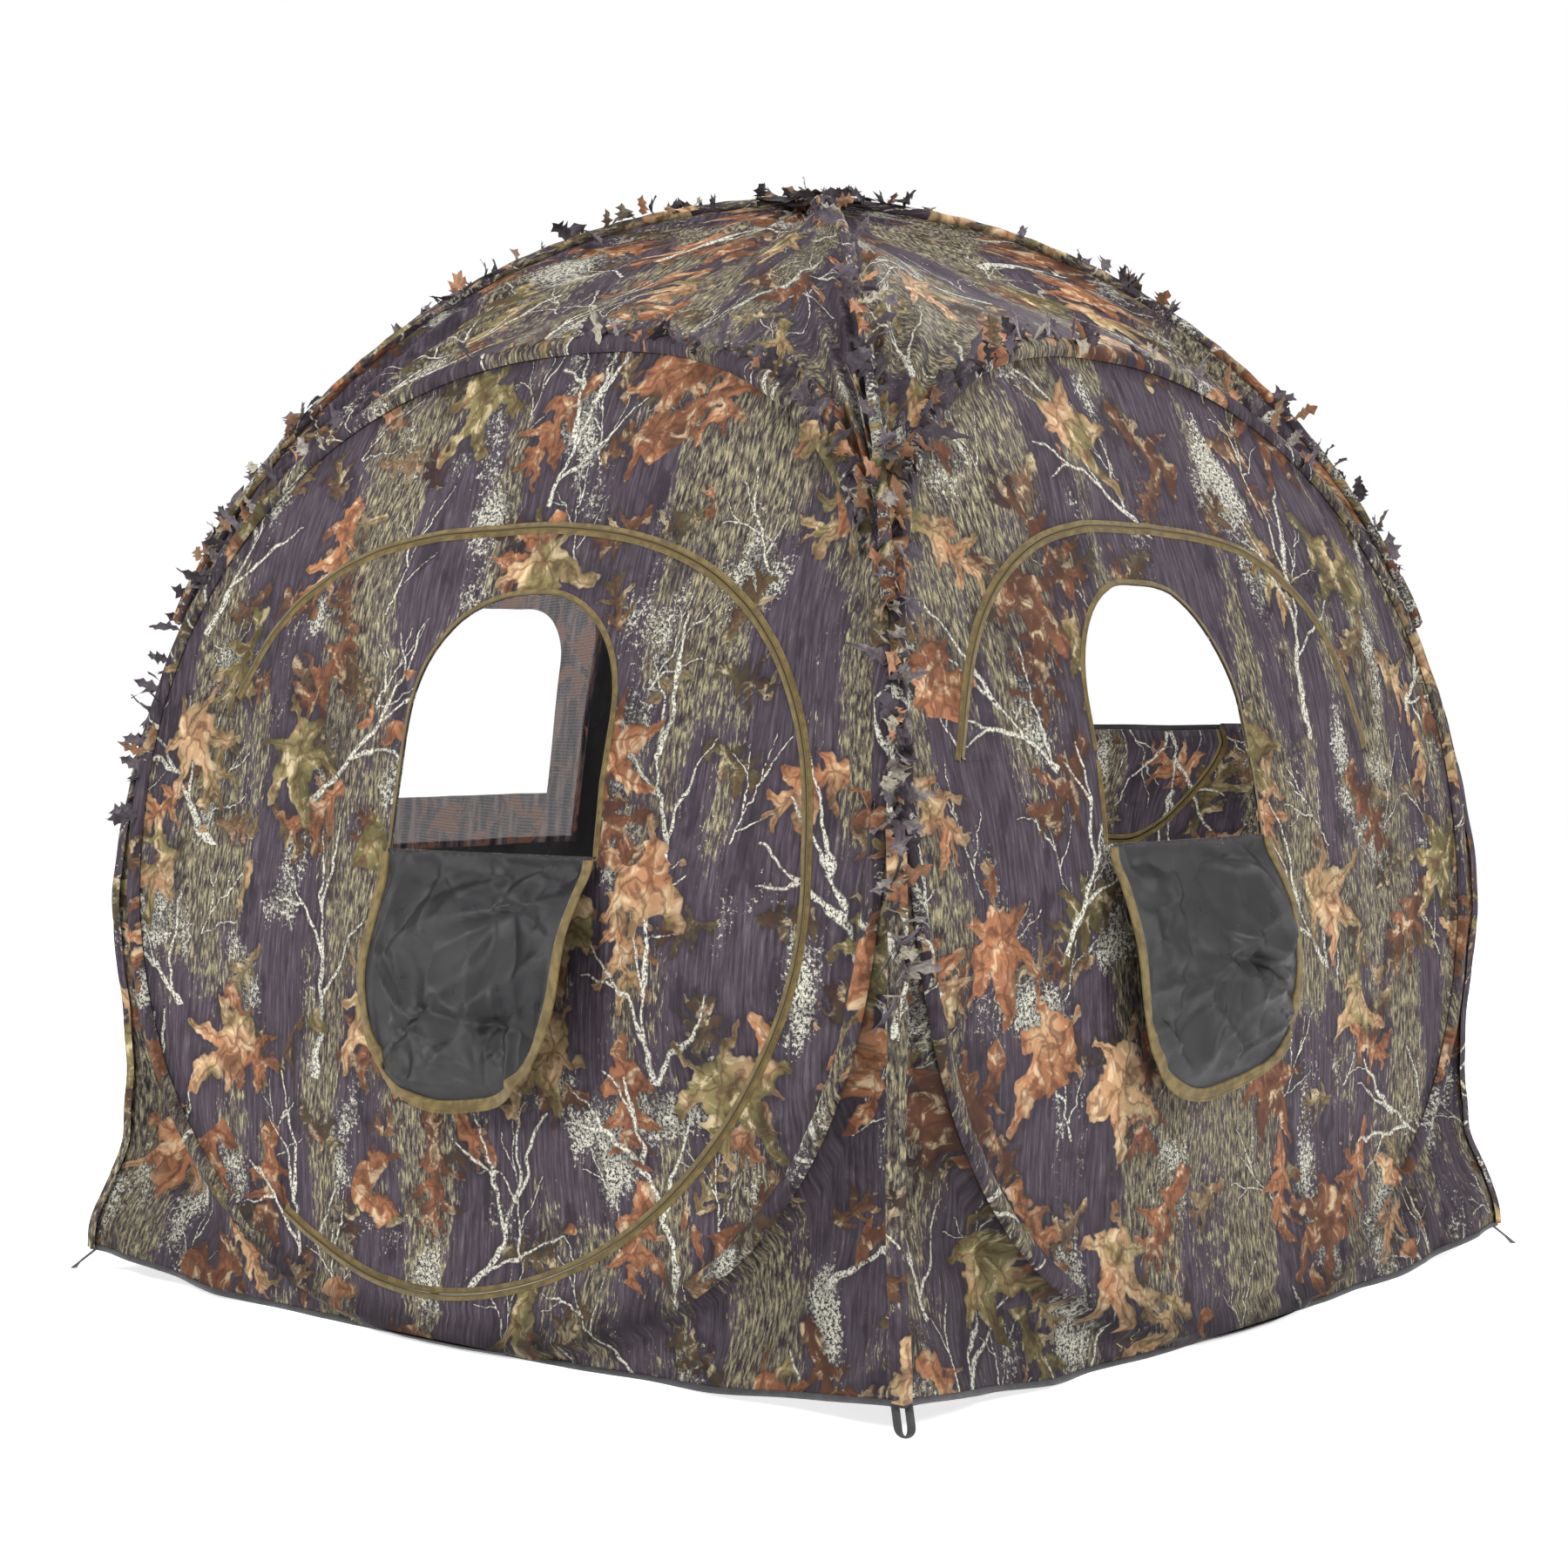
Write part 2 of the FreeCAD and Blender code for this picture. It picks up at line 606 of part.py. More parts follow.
# ---- windows: zip on the wall, flap hanging below the sill -------------------------------
WINDOWS = {
    "a": (0, DOOR_WINDOW, val("window_height") - 12),
    "b": (1, SIDE_WINDOW, val("window_height") - 12),
    "c": (2, SIDE_WINDOW, val("window_height") - 12),
    "d": (3, BACK_WINDOW, val("back_flap_tall")),
}
zip_feet = []
flap_near = val("flap_offset")
flap_far = flap_near + val("flap_thick")
for letter, (turn, window, tall) in WINDOWS.items():
    centre, width, sill, opening, corner = window
    band = arch_band(1.0, tape_far, *window)
    if letter in FOLDS:
        fold = FOLDS[letter]
        low_band = band.common(box_face(-900, 900, 0, fold - 4))
        high_band = band.common(box_face(-900, 900, fold + 4, 1400))
        lower = sheet_piece("window_zip_foot_" + letter, *TAPE, low_band, turn)
        NODES.remove(lower)
        zip_feet.append(lower)
        upper = sheet_piece("window_zip_" + letter, *TAPE, high_band, turn)
        if letter == "c":
            folded(upper)
    else:
        sheet_piece("window_zip_" + letter, *TAPE, band, turn)
    if letter == "c":
        # this flap is zipped shut, so it fills its window and folds down with the panel
        shut = [sheet_piece("window_flap_c", 0, CLOTH,
                            above(arch_face(*window, grow=-1.0), fold + 4), turn),
                sheet_piece("flap_zip_c", *TAPE, above(arch_band(-tape_far, -1.0, *window), fold + 4),
                            turn)]
        for piece in shut:
            folded(piece)
        continue
    hang = (centre, width - 8, sill - val("flap_clear"), tall, corner)
    sheet_piece("window_flap_" + letter, flap_near, flap_far, arch_face(*hang, hang=True), turn)
    sheet_piece("flap_zip_" + letter, flap_far + 0.1, flap_far + 0.9,
                arch_band(-tape_far + 0.4, -0.4, *hang, hang=True), turn)

node(group("window_zip_feet", zip_feet))

mesh_hole = (val("back_centre"), val("back_width") - 2 * val("mesh_margin"),
             val("back_sill") + val("mesh_margin"), val("back_tall") - 2 * val("mesh_margin"), 90)
mesh_rim = arch_face(BACK_WINDOW[0], BACK_WINDOW[1] + 24, BACK_WINDOW[2] - 12, BACK_WINDOW[3] + 24,
                     BACK_WINDOW[4] + 12)
sheet_piece("mesh_border_d", -1.4, -0.6, mesh_rim.cut(arch_face(*mesh_hole)).Faces[0], 3)


# ---- zip sliders and pulls ---------------------------------------------------------------

def slider(name, u, z, tilt, lift, turn=0):
    """A slider lying on a tape at (u, z), its length turned by tilt in the wall's plane."""
    block = doc.addObject("Part::Box", name)
    block.setExpression("Length", "Sizes.slider_long")
    block.setExpression("Width", "Sizes.slider_thick")
    block.setExpression("Height", "Sizes.slider_wide")
    middle = V(-val("slider_long") / 2, -val("slider_thick"), -val("slider_wide") / 2)
    lean = math.degrees(math.atan2(half_width(z - 5) - half_width(z + 5), 10))
    turned = FreeCAD.Rotation(V(1, 0, 0), -lean).multiply(FreeCAD.Rotation(V(0, 1, 0), -tilt))
    spot = V(u, -half_width(z, lift), z)
    block.Placement = FreeCAD.Placement(spot + turned.multVec(middle), turned)
    return node(block, turn)


def pull(name, u, z, turn=0):
    """A knotted cord that hangs from its slider."""
    stem = doc.addObject("Part::Cylinder", name + "_stem")
    stem.setExpression("Radius", "Sizes.pull_radius")
    stem.setExpression("Height", "Sizes.pull_long")
    knot = doc.addObject("Part::Sphere", name + "_knot")
    knot.setExpression("Radius", "Sizes.pull_radius * 1.7")
    out = half_width(z - val("pull_long"), val("slider_lift") + val("slider_thick") + 3.4)
    stem.Placement.Base = V(u, -out, z - val("pull_long"))
    knot.Placement.Base = V(u, -out, z - val("pull_long"))
    return node(boolean("Fuse", name, stem, knot), turn)


LIFT = val("slider_lift")
slider("door_slider", -16, 69 - 5.6, 0, LIFT)
pull("door_pull", -16, 66)
slider("arc_slider_b", 403 + 5, 846, 107, LIFT, 1)
pull("arc_pull_b", 403 + 5, 844, 1)
slider("arc_slider_c", -590 - 4, 800, 62, LIFT, 2)
pull("arc_pull_c", -590 - 4, 798, 2)
flap_lift = flap_far + 0.9 + 0.5
for letter, (turn, window, tall) in WINDOWS.items():
    right = window[0] + window[1] / 2 - 4 - 5
    if letter != "c":
        slider("flap_slider_" + letter, right, window[2] - 22, 90, flap_lift, turn)
slider("flap_slider_c", SIDE_WINDOW[0] + SIDE_WINDOW[1] / 2 + 5, SIDE_WINDOW[2] + 16, 90, LIFT, 2)

# ---- check, then write one file per sub-part ---------------------------------------------
doc.recompute()
bad = [o.Name for o in doc.Objects if "Invalid" in o.State or "Error" in o.State]
if bad:
    raise RuntimeError("failed objects: %s" % bad)
os.makedirs("parts", exist_ok=True)
for obj in NODES:
    if obj.Shape.isNull() or not obj.Shape.isValid() or not obj.Shape.Solids:
        raise RuntimeError("bad shape: " + obj.Name)
    obj.Label = obj.Name
    obj.Shape.exportStep("parts/%s.step" % obj.Name)
    box = obj.Shape.BoundBox
    print("%-24s solids %d volume %9.1f  x %.0f..%.0f y %.0f..%.0f z %.0f..%.0f" % (
        obj.Name, len(obj.Shape.Solids), obj.Shape.Volume, box.XMin, box.XMax,
        box.YMin, box.YMax, box.ZMin, box.ZMax))
print(len(NODES), "sub-parts")
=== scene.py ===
import bpy
import math
import numpy as np
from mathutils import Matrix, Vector
from mathutils.geometry import delaunay_2d_cdt


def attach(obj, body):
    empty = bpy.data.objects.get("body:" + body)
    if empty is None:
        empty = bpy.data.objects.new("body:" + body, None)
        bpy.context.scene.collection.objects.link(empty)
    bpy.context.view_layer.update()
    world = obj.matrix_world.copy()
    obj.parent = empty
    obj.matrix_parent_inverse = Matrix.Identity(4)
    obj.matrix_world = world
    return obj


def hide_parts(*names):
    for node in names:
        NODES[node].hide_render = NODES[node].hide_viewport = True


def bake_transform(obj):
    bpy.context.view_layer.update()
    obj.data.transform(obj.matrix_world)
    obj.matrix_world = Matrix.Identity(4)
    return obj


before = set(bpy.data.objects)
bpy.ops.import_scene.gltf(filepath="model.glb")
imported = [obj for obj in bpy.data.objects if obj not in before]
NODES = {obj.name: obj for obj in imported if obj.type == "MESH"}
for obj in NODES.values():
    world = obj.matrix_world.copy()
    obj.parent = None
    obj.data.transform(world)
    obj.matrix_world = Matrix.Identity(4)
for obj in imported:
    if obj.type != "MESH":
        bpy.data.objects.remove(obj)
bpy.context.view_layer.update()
WALLS = ["a", "b", "c", "d"]

# ---- driving sizes, in metres, as the CAD has them ---------------------------------------
BASE_HALF, KNEE_HALF, KNEE_Z, SIDE_RADIUS = 0.778, 0.755, 0.5, 2.15
HOOP_A, HOOP_B, HOOP_Z, HOOP_POWER = 0.707, 0.672, 0.692, 2.3
EAVE_Z, CORNER_RAISED = 1.02, 0.035
ROD_SPREAD, ROD_END_Z, ROD_TOPS = 0.958, 1.0, (1.624, 1.636)
FOLD_Z, REAR_FOLD_Z, FOLD_OPEN = 0.79, 0.828, math.radians(150)
DOOR_TOP, DOOR_FOOT = (-0.517, 0.873), (-0.326, 0.145)
PANEL_ENDS, PANEL_ZIP_FOOT = (-0.590, 0.415), 0.790
# Rounded outlines: centre, reach left and right, rise up and down, and each quarter's fullness.
DOOR_OVAL = ((-0.010, 0.625), (0.545, 0.610), (0.475, 0.555), (2.65, 2.5, 2.3, 1.8))
PANEL_OVAL = ((-0.030, 0.500), (0.580, 0.460), (0.605, 0.605), (2.9, 2.9, 2.9, 2.9))
# window: centre, width, sill, height, corner radius
DOOR_WINDOW = (0.068, 0.385, 0.662, 0.344, 0.170)
SIDE_WINDOW = (-0.117, 0.385, 0.678, 0.344, 0.170)
BACK_WINDOW = (0.025, 0.550, 0.630, 0.470, 0.150)
MESH_MARGIN = 0.078
FLAP_TALL = {"a": 0.332, "b": 0.332, "d": 0.430}
WINDOWS = {"a": DOOR_WINDOW, "b": SIDE_WINDOW, "c": SIDE_WINDOW, "d": BACK_WINDOW}
GRID = 0.013
CLOTH_THICK = 0.0012
# How far cloth stops short of a zip's line, how finely zips are drawn, and the room at a fold.
ZIP_EDGE, ZIP_STEP, FOLD_ROOM = 0.0025, 0.006, 0.004
DOOR_SEAM = 0.006
# The print's map is moved along by this much from one wall to the next.
PRINT_SHIFT = 2.3
CORNER_HEADINGS = (-45, 45, 135, 225)


# ---- the wall surface --------------------------------------------------------------------

def knee():
    """The slope of a wall's lower part, as outward and upward shares of its normal."""
    run, rise = KNEE_HALF - BASE_HALF, KNEE_Z
    length = math.hypot(run, rise)
    return rise / length, -run / length


KNEE_OUT, KNEE_UP = knee()
ARC_W, ARC_Z = KNEE_HALF - SIDE_RADIUS * KNEE_OUT, KNEE_Z - SIDE_RADIUS * KNEE_UP


def half_width(z):
    """A wall's distance from the middle at a height: straight, then an arc."""
    z = np.asarray(z, float)
    low = BASE_HALF + (KNEE_HALF - BASE_HALF) / KNEE_Z * z
    high = ARC_W + np.sqrt(np.maximum(SIDE_RADIUS ** 2 - (z - ARC_Z) ** 2, 0))
    return np.where(z <= KNEE_Z, low, high)


def turned(points, turn):
    """Wall a's coordinates to those of the wall this many quarter turns round."""
    c, s = [(1, 0), (0, 1), (-1, 0), (0, -1)][turn % 4]
    points = np.asarray(points, float)
    out = points.copy()
    out[..., 0] = c * points[..., 0] - s * points[..., 1]
    out[..., 1] = s * points[..., 0] + c * points[..., 1]
    return out


def on_wall(turn, u, z, n=0.0):
    """Points at (u, z) on a wall, n along its outward normal."""
    u, z, n = np.broadcast_arrays(np.asarray(u, float), np.asarray(z, float), np.asarray(n, float))
    up = np.where(z <= KNEE_Z, KNEE_UP, (z - ARC_Z) / SIDE_RADIUS)
    out = np.sqrt(1 - up ** 2)
    flat = np.stack([u, -(half_width(z) + n * out), z + n * up], -1)
    return turned(flat, turn)


def waves(u, z, size, seed, stretch=1.0, count=9):
    """A smooth random field from -1 to 1 whose bumps are about this size."""
    rng = np.random.default_rng(seed)
    total = 0.0
    for _ in range(count):
        angle, phase = rng.uniform(0, math.pi), rng.uniform(0, 2 * math.pi)
        k = math.pi / size * rng.uniform(0.6, 1.5)
        total = total + np.cos(k * (np.cos(angle) * u + np.sin(angle) * z / stretch) + phase)
    return total / math.sqrt(count) * 0.7


def smooth(x, low, high):
    """A soft step from 0 to 1."""
    t = np.clip((np.asarray(x, float) - low) / (high - low), 0, 1)
    return t * t * (3 - 2 * t)


def hoop_gap(u, z):
    """Roughly how far a point is outside the hoop's centre line."""
    f = (np.abs(u) / HOOP_A) ** HOOP_POWER + (np.abs(z - HOOP_Z) / HOOP_B) ** HOOP_POWER
    return (f ** (1 / HOOP_POWER) - 1) * 0.68


# ---- outlines ----------------------------------------------------------------------------

def lengths(path):
    """How far along the path each point is."""
    return np.concatenate([[0], np.cumsum(np.linalg.norm(np.diff(path, axis=0), axis=1))])


def spline_path(points, step=0.008):
    """A natural cubic spline through the points, sampled evenly."""
    p = np.array(points, float)
    t = lengths(p)
    n, gaps = len(t), np.diff(t)
    a, b = np.eye(n), np.zeros((n, 2))
    for i in range(1, n - 1):
        a[i, i - 1:i + 2] = gaps[i - 1], 2 * (gaps[i - 1] + gaps[i]), gaps[i]
        b[i] = 6 * ((p[i + 1] - p[i]) / gaps[i] - (p[i] - p[i - 1]) / gaps[i - 1])
    m = np.linalg.solve(a, b)
    s = np.linspace(0, t[-1], max(2, int(t[-1] / step)) + 1)
    i = np.clip(np.searchsorted(t, s) - 1, 0, n - 2)
    g, x = gaps[i][:, None], (s - t[i])[:, None]
    y = g - x
    return (m[i] * y ** 3 + m[i + 1] * x ** 3) / (6 * g) + (p[i] / g - m[i] * g / 6) * y \
        + (p[i + 1] / g - m[i + 1] * g / 6) * x


def headings(path, closed=False):
    """The direction of travel at each point."""
    if closed:
        d = np.roll(path, -1, axis=0) - np.roll(path, 1, axis=0)
    else:
        d = np.gradient(path, axis=0)
    return d / np.maximum(np.linalg.norm(d, axis=1, keepdims=True), 1e-9)


def beside(path, distance, closed=False):
    """The path moved sideways: outwards for one that runs clockwise."""
    d = headings(path, closed)
    return path + np.stack([-d[:, 1], d[:, 0]], 1) * distance


def hoop_path(count):
    """The hoop's centre line, clockwise from its right-hand side."""
    turn = -2 * math.pi * np.linspace(0, 1, count, endpoint=False)
    c, s = np.cos(turn), np.sin(turn)
    power = 2 / HOOP_POWER
    u = HOOP_A * np.sign(c) * np.abs(c) ** power
    z = HOOP_Z + HOOP_B * np.sign(s) * np.abs(s) ** power
    return evenly(np.stack([u, z], 1), count, closed=True)


def upper_hoop(samples, count):
    """The hoop's part above the eave, from left to right."""
    line = hoop_path(samples)
    line = line[line[:, 1] > EAVE_Z]
    return evenly(line[np.argsort(np.arctan2(line[:, 0], line[:, 1] - EAVE_Z))], count)


def evenly(path, count, closed=False):
    """The same path in even steps."""
    p = np.vstack([path, path[:1]]) if closed else path
    t = lengths(p)
    s = np.linspace(0, t[-1], count, endpoint=not closed)
    return np.stack([np.interp(s, t, p[:, k]) for k in range(2)], 1)


def shut(path, count):
    """An open outline with its last side added in this many points."""
    return np.vstack([path, evenly(np.array([path[-1], path[0]]), count)[1:-1]])


def arch_path(centre, width, sill, tall, corner, grow=0.0, hang=False, step=0.008):
    """Up one jamb, over the top and down the other; hang turns it below the sill."""
    half, r = width / 2 + grow, corner + grow
    side = -1 if hang else 1
    top = sill + side * (tall + grow)
    bend = top - side * r
    a = np.linspace(0, math.pi / 2, 14)
    left = np.stack([centre - half + r - r * np.cos(a), bend + side * r * np.sin(a)], 1)
    right = np.stack([centre + half - r + r * np.sin(a), bend + side * r * np.cos(a)], 1)
    line = np.vstack([[[centre - half, sill]], left, right, [[centre + half, sill]]])
    length = np.linalg.norm(np.diff(line, axis=0), axis=1).sum()
    return evenly(line, int(length / step) + 2)


def inside(points, loop):
    """Which points lie inside a closed outline."""
    x, y = points[:, 0], points[:, 1]
    result = np.zeros(len(points), bool)
    ax, ay = loop[:, 0], loop[:, 1]
    bx, by = np.roll(ax, -1), np.roll(ay, -1)
    for i in range(len(loop)):
        crosses = (ay[i] > y) != (by[i] > y)
        if crosses.any():
            at_x = (bx[i] - ax[i]) * (y - ay[i]) / (by[i] - ay[i] + 1e-12) + ax[i]
            result ^= crosses & (x < at_x)
    return result


def path_distance(points, path):
    """Each point's distance from a sampled path, and how far along it the nearest place is."""
    steps = lengths(path)
    best = np.full(len(points), 9.0)
    along = np.zeros(len(points))
    for start in range(0, len(points), 4000):
        d = np.linalg.norm(points[start:start + 4000, None] - path[None], axis=2)
        i = d.argmin(1)
        best[start:start + 4000] = d[np.arange(len(i)), i]
        along[start:start + 4000] = steps[i]
    return best, along


def oval(centre, sides, rises, powers, angles):
    """Points on a rounded outline whose four quarters differ in reach and in fullness."""
    points = []
    for angle in angles:
        c, s = math.cos(math.radians(angle)), math.sin(math.radians(angle))
        power = powers[(0 if s > 0 else 2) + (1 if c > 0 else 0)]
        reach = sides[1 if c > 0 else 0] * abs(c) ** (2 / power)
        rise = rises[0 if s > 0 else 1] * abs(s) ** (2 / power)
        points.append((centre[0] + math.copysign(reach, c), centre[1] + math.copysign(rise, s)))
    return points


DOOR_ZIP = [DOOR_TOP] + oval(*DOOR_OVAL, range(140, -110, -15)) + [DOOR_FOOT]
PANEL_ZIP = [(PANEL_ENDS[0], PANEL_ZIP_FOOT)] + oval(*PANEL_OVAL, range(150, 29, -12)) \
    + [(PANEL_ENDS[1], PANEL_ZIP_FOOT)]


# ---- how the cloth hangs -----------------------------------------------------------------

ZIP_PATHS = {
    "a": spline_path(DOOR_ZIP),
    "b": spline_path(PANEL_ZIP),
    "c": spline_path(PANEL_ZIP),
    "d": arch_path(*BACK_WINDOW),
}


def billow(turn, u, z):
    """How far the cloth stands off its drawn surface, out of the wall."""
    letter = WALLS[turn % 4]
    gap = hoop_gap(u, z)
    free = smooth(np.abs(gap), 0.004, 0.11)
    seed = 20 + 7 * turn
    calm = waves(u, z, 0.34, seed) * 0.0085 + waves(u, z, 0.13, seed + 1, stretch=1.8) * 0.0024
    crease = np.abs(waves(u, z, 0.16, seed + 2, stretch=2.2)) ** 0.7 * 0.004
    small = waves(u, z, 0.045, seed + 3, stretch=2.6) * 0.0008
    n = free * (calm - crease + small)
    around = np.arctan2(z - HOOP_Z, u)
    pucker = np.sin(around * 74 + 2 * waves(u, z, 0.3, seed + 4)) * np.exp(-np.abs(gap) / 0.035)
    n = n + pucker * 0.0011 * smooth(np.abs(gap), 0.010, 0.024)
    n = n + 0.014 * smooth(-gap, 0.02, 0.34)
    n = n - 0.026 * smooth(gap, 0.011, 0.026) * (1 - smooth(gap, 0.07, 0.24)) * smooth(1.0 - z, 0, 0.1)
    n = n - 0.005 * np.exp(-((gap + 0.024) / 0.010) ** 2)
    n = n + 0.024 * np.cos(np.clip(u / BASE_HALF, -1, 1) * math.pi / 2) * smooth(0.22 - z, 0, 0.22)
    low = np.clip(0.62 - z, 0, 1) * smooth(gap, 0.0, 0.14)
    side = np.abs(u)
    pull = np.sin((side * 0.8 - z * 1.1) * 34 + seed) * 0.006 + np.sin((side + z) * 17) * 0.004
    n = n + low * pull * 1.6 * smooth(BASE_HALF - side, 0.0, 0.09)
    points = np.stack([np.ravel(u), np.ravel(z)], 1)
    distance, along = path_distance(points, ZIP_PATHS[letter])
    distance, along = distance.reshape(np.shape(u)), along.reshape(np.shape(u))
    ripple = np.sin(along * 230 + 2.5 * np.sin(along * 31)) * np.exp(-distance / 0.022)
    n = n + ripple * 0.0010 * smooth(distance, 0.006, 0.016)
    n = n - 0.0035 * np.exp(-(distance / 0.05) ** 2) * free
    return n * smooth(half_width(z) - np.abs(u), 0.0, 0.055)


def corner_lift(u, z):
    """The bottom corners are pulled up off the ground."""
    return CORNER_RAISED * smooth(np.abs(u), 0.30, 0.80) ** 1.5 * smooth(0.30 - z, 0.0, 0.30)


def tuck(z):
    """How far a corner seam is drawn in, above and below where two hoops meet."""
    z = np.asarray(z, float)
    return 0.029 * smooth(z, 0.02, 0.20) * smooth(0.62 - z, 0.0, 0.34) \
        + 0.012 * smooth(z, 0.84, 0.98)


def drape(turn, u, z, n=0.0):
    """A point on the cloth as it hangs, n above it."""
    u, z = np.asarray(u, float), np.asarray(z, float)
    drawn = tuck(z) * smooth(hoop_gap(u, z), 0.012, 0.10) * smooth(np.abs(u), 0.30, 0.62)
    return on_wall(turn, u - np.sign(u) * drawn, z + corner_lift(u, z), n + billow(turn, u, z) - drawn)


# ---- mesh making -------------------------------------------------------------------------

def mesh_object(name, points, faces, uvs=None, smooth_shade=True, shade=None):
    """uvs is a dict of map name to one (u, v) per point; shade is the painted shade of each point, 1
    where none is painted.
    """
    mesh = bpy.data.meshes.new(name)
    mesh.from_pydata(np.asarray(points).tolist(), [], [list(map(int, f)) for f in faces])
    loops = np.empty(len(mesh.loops), int)
    mesh.loops.foreach_get("vertex_index", loops)
    for map_name, values in (uvs or {}).items():
        layer = mesh.uv_layers.new(name=map_name)
        layer.data.foreach_set("uv", np.asarray(values, np.float32)[loops].ravel())
    mesh.polygons.foreach_set("use_smooth", [smooth_shade] * len(mesh.polygons))
    layer = mesh.attributes.new("shade", "FLOAT", "POINT")
    values = np.ones(len(mesh.vertices)) if shade is None else np.ravel(shade)
    layer.data.foreach_set("value", values.astype(np.float32))
    mesh.update()
    obj = bpy.data.objects.new(name, mesh)
    bpy.context.scene.collection.objects.link(obj)
    return obj


def flat_cut(outer, holes, step):
    """Points and triangles that fill an outline and leave its holes open."""
    low, high = outer.min(0), outer.max(0)
    rows = []
    for i, y in enumerate(np.arange(low[1], high[1] + step, step * 0.87)):
        x = np.arange(low[0] + (i % 2) * step / 2, high[0] + step, step)
        rows.append(np.stack([x, np.full(len(x), y)], 1))
    grid = np.vstack(rows)
    keep = inside(grid, outer)
    for loop in [outer] + list(holes):
        closed = np.vstack([loop, loop[:1]])
        keep &= path_distance(grid, closed)[0] > step * 0.55
    for loop in holes:
        keep &= ~inside(grid, loop)
    grid = grid[keep]
    points, edges = [tuple(p) for p in grid], []
    for loop in [outer] + list(holes):
        start = len(points)
        points += [tuple(p) for p in loop]
        edges += [(start + i, start + (i + 1) % len(loop)) for i in range(len(loop))]
    verts, _, faces, _, _, _ = delaunay_2d_cdt([Vector(p) for p in points], edges, [], 0, 1e-6)
    verts = np.array([tuple(v) for v in verts])
    faces = np.array([f for f in faces if len(f) == 3])
    middle = verts[faces].mean(1)
    keep = inside(middle, outer)
    for loop in holes:
        keep &= ~inside(middle, loop)
    return verts, faces[keep]


def area_of(loop):
    """The area inside a closed outline."""
    x, y = loop[:, 0], loop[:, 1]
    return abs((x * np.roll(y, -1) - y * np.roll(x, -1)).sum()) / 2


def thin(obj):
    """Gives a sheet its thickness, with the second material on its back."""
    solid = obj.modifiers.new("thickness", "SOLIDIFY")
    solid.thickness = CLOTH_THICK
    solid.offset = -1.0
    solid.material_offset = 1
    solid.material_offset_rim = 0
    solid.use_quality_normals = True
    return obj


def wall_sheet(name, turn, outer, holes, letter):
    """A flat cut of cloth hung on a wall, and its area."""
    flat, faces = flat_cut(outer, holes, GRID)
    place = drape(turn, flat[:, 0], flat[:, 1])
    gap = hoop_gap(flat[:, 0], flat[:, 1])
    # Painted shade: seam is a painted shadow along both sides of the hoop sleeve, stronger outside the
    # hoop and partly its dark stitch line; the last term paints shade over the recessed cloth outside
    # the hoop.
    seam = np.exp(-np.maximum(np.abs(gap) - 0.013, 0) / 0.011)
    shade = 1 - 0.62 * seam * np.where(gap > 0, 1.0, 0.62) - 0.20 * smooth(gap, 0.02, 0.12)
    obj = mesh_object(name, place, outward(place, faces, turn),
                      {"cloth": flat + np.array([PRINT_SHIFT * turn, 0.0])}, shade=shade)
    thin(paint(obj, CAMO[letter], LINING))
    return obj, area_of(outer) - sum(area_of(h) for h in holes)


def outward(place, faces, turn):
    """Turns triangles so that their front is on the outside of the wall."""
    face = np.asarray(faces)
    a, b, c = (place[face[:, i]] for i in range(3))
    normal = np.cross(b - a, c - a).sum(0)
    away = turned(np.array([0.0, -1.0, 0.0]), turn)
    return face[:, ::-1] if normal @ away < 0 else face


def grid_faces(rows, columns, closed=False):
    """Four-sided faces over rows of points; closed joins the last row to the first."""
    faces = []
    for i in range(rows - 1 + closed):
        j = (i + 1) % rows
        for k in range(columns - 1):
            faces.append((i * columns + k, j * columns + k, j * columns + k + 1, i * columns + k + 1))
    return faces


def run_on_wall(name, turn, path, profile, closed=False, wobble=None, surface=drape):
    """A strip that follows a path on a wall; profile is (sideways, height) across it."""
    d = headings(path, closed)
    side = np.stack([-d[:, 1], d[:, 0]], 1)
    profile = np.array(profile, float)
    flat = path[:, None] + side[:, None] * profile[None, :, 0, None]
    height = np.broadcast_to(profile[None, :, 1], flat.shape[:2])
    if wobble is not None:
        height = height + wobble(len(path))[:, None] * (profile[None, :, 1] > profile[:, 1].min())
    place = surface(turn, flat[..., 0], flat[..., 1], height)
    length = lengths(path)
    across = np.broadcast_to(profile[None, :, 0], flat.shape[:2])
    run = np.stack([across, np.broadcast_to(length[:, None], across.shape)], -1)
    faces = grid_faces(len(path), len(profile), closed)
    cloth = flat + np.array([PRINT_SHIFT * turn, 0])
    return mesh_object(name, place.reshape(-1, 3), faces,
                       {"cloth": cloth.reshape(-1, 2), "run": run.reshape(-1, 2)})


# ---- material kit ------------------------------------------------------------------------

def srgb(r, g, b):
    """A colour from 0 to 255, in linear values."""
    c = np.array([r, g, b]) / 255
    return tuple(np.where(c <= 0.04045, c / 12.92, ((c + 0.055) / 1.055) ** 2.4)) + (1.0,)


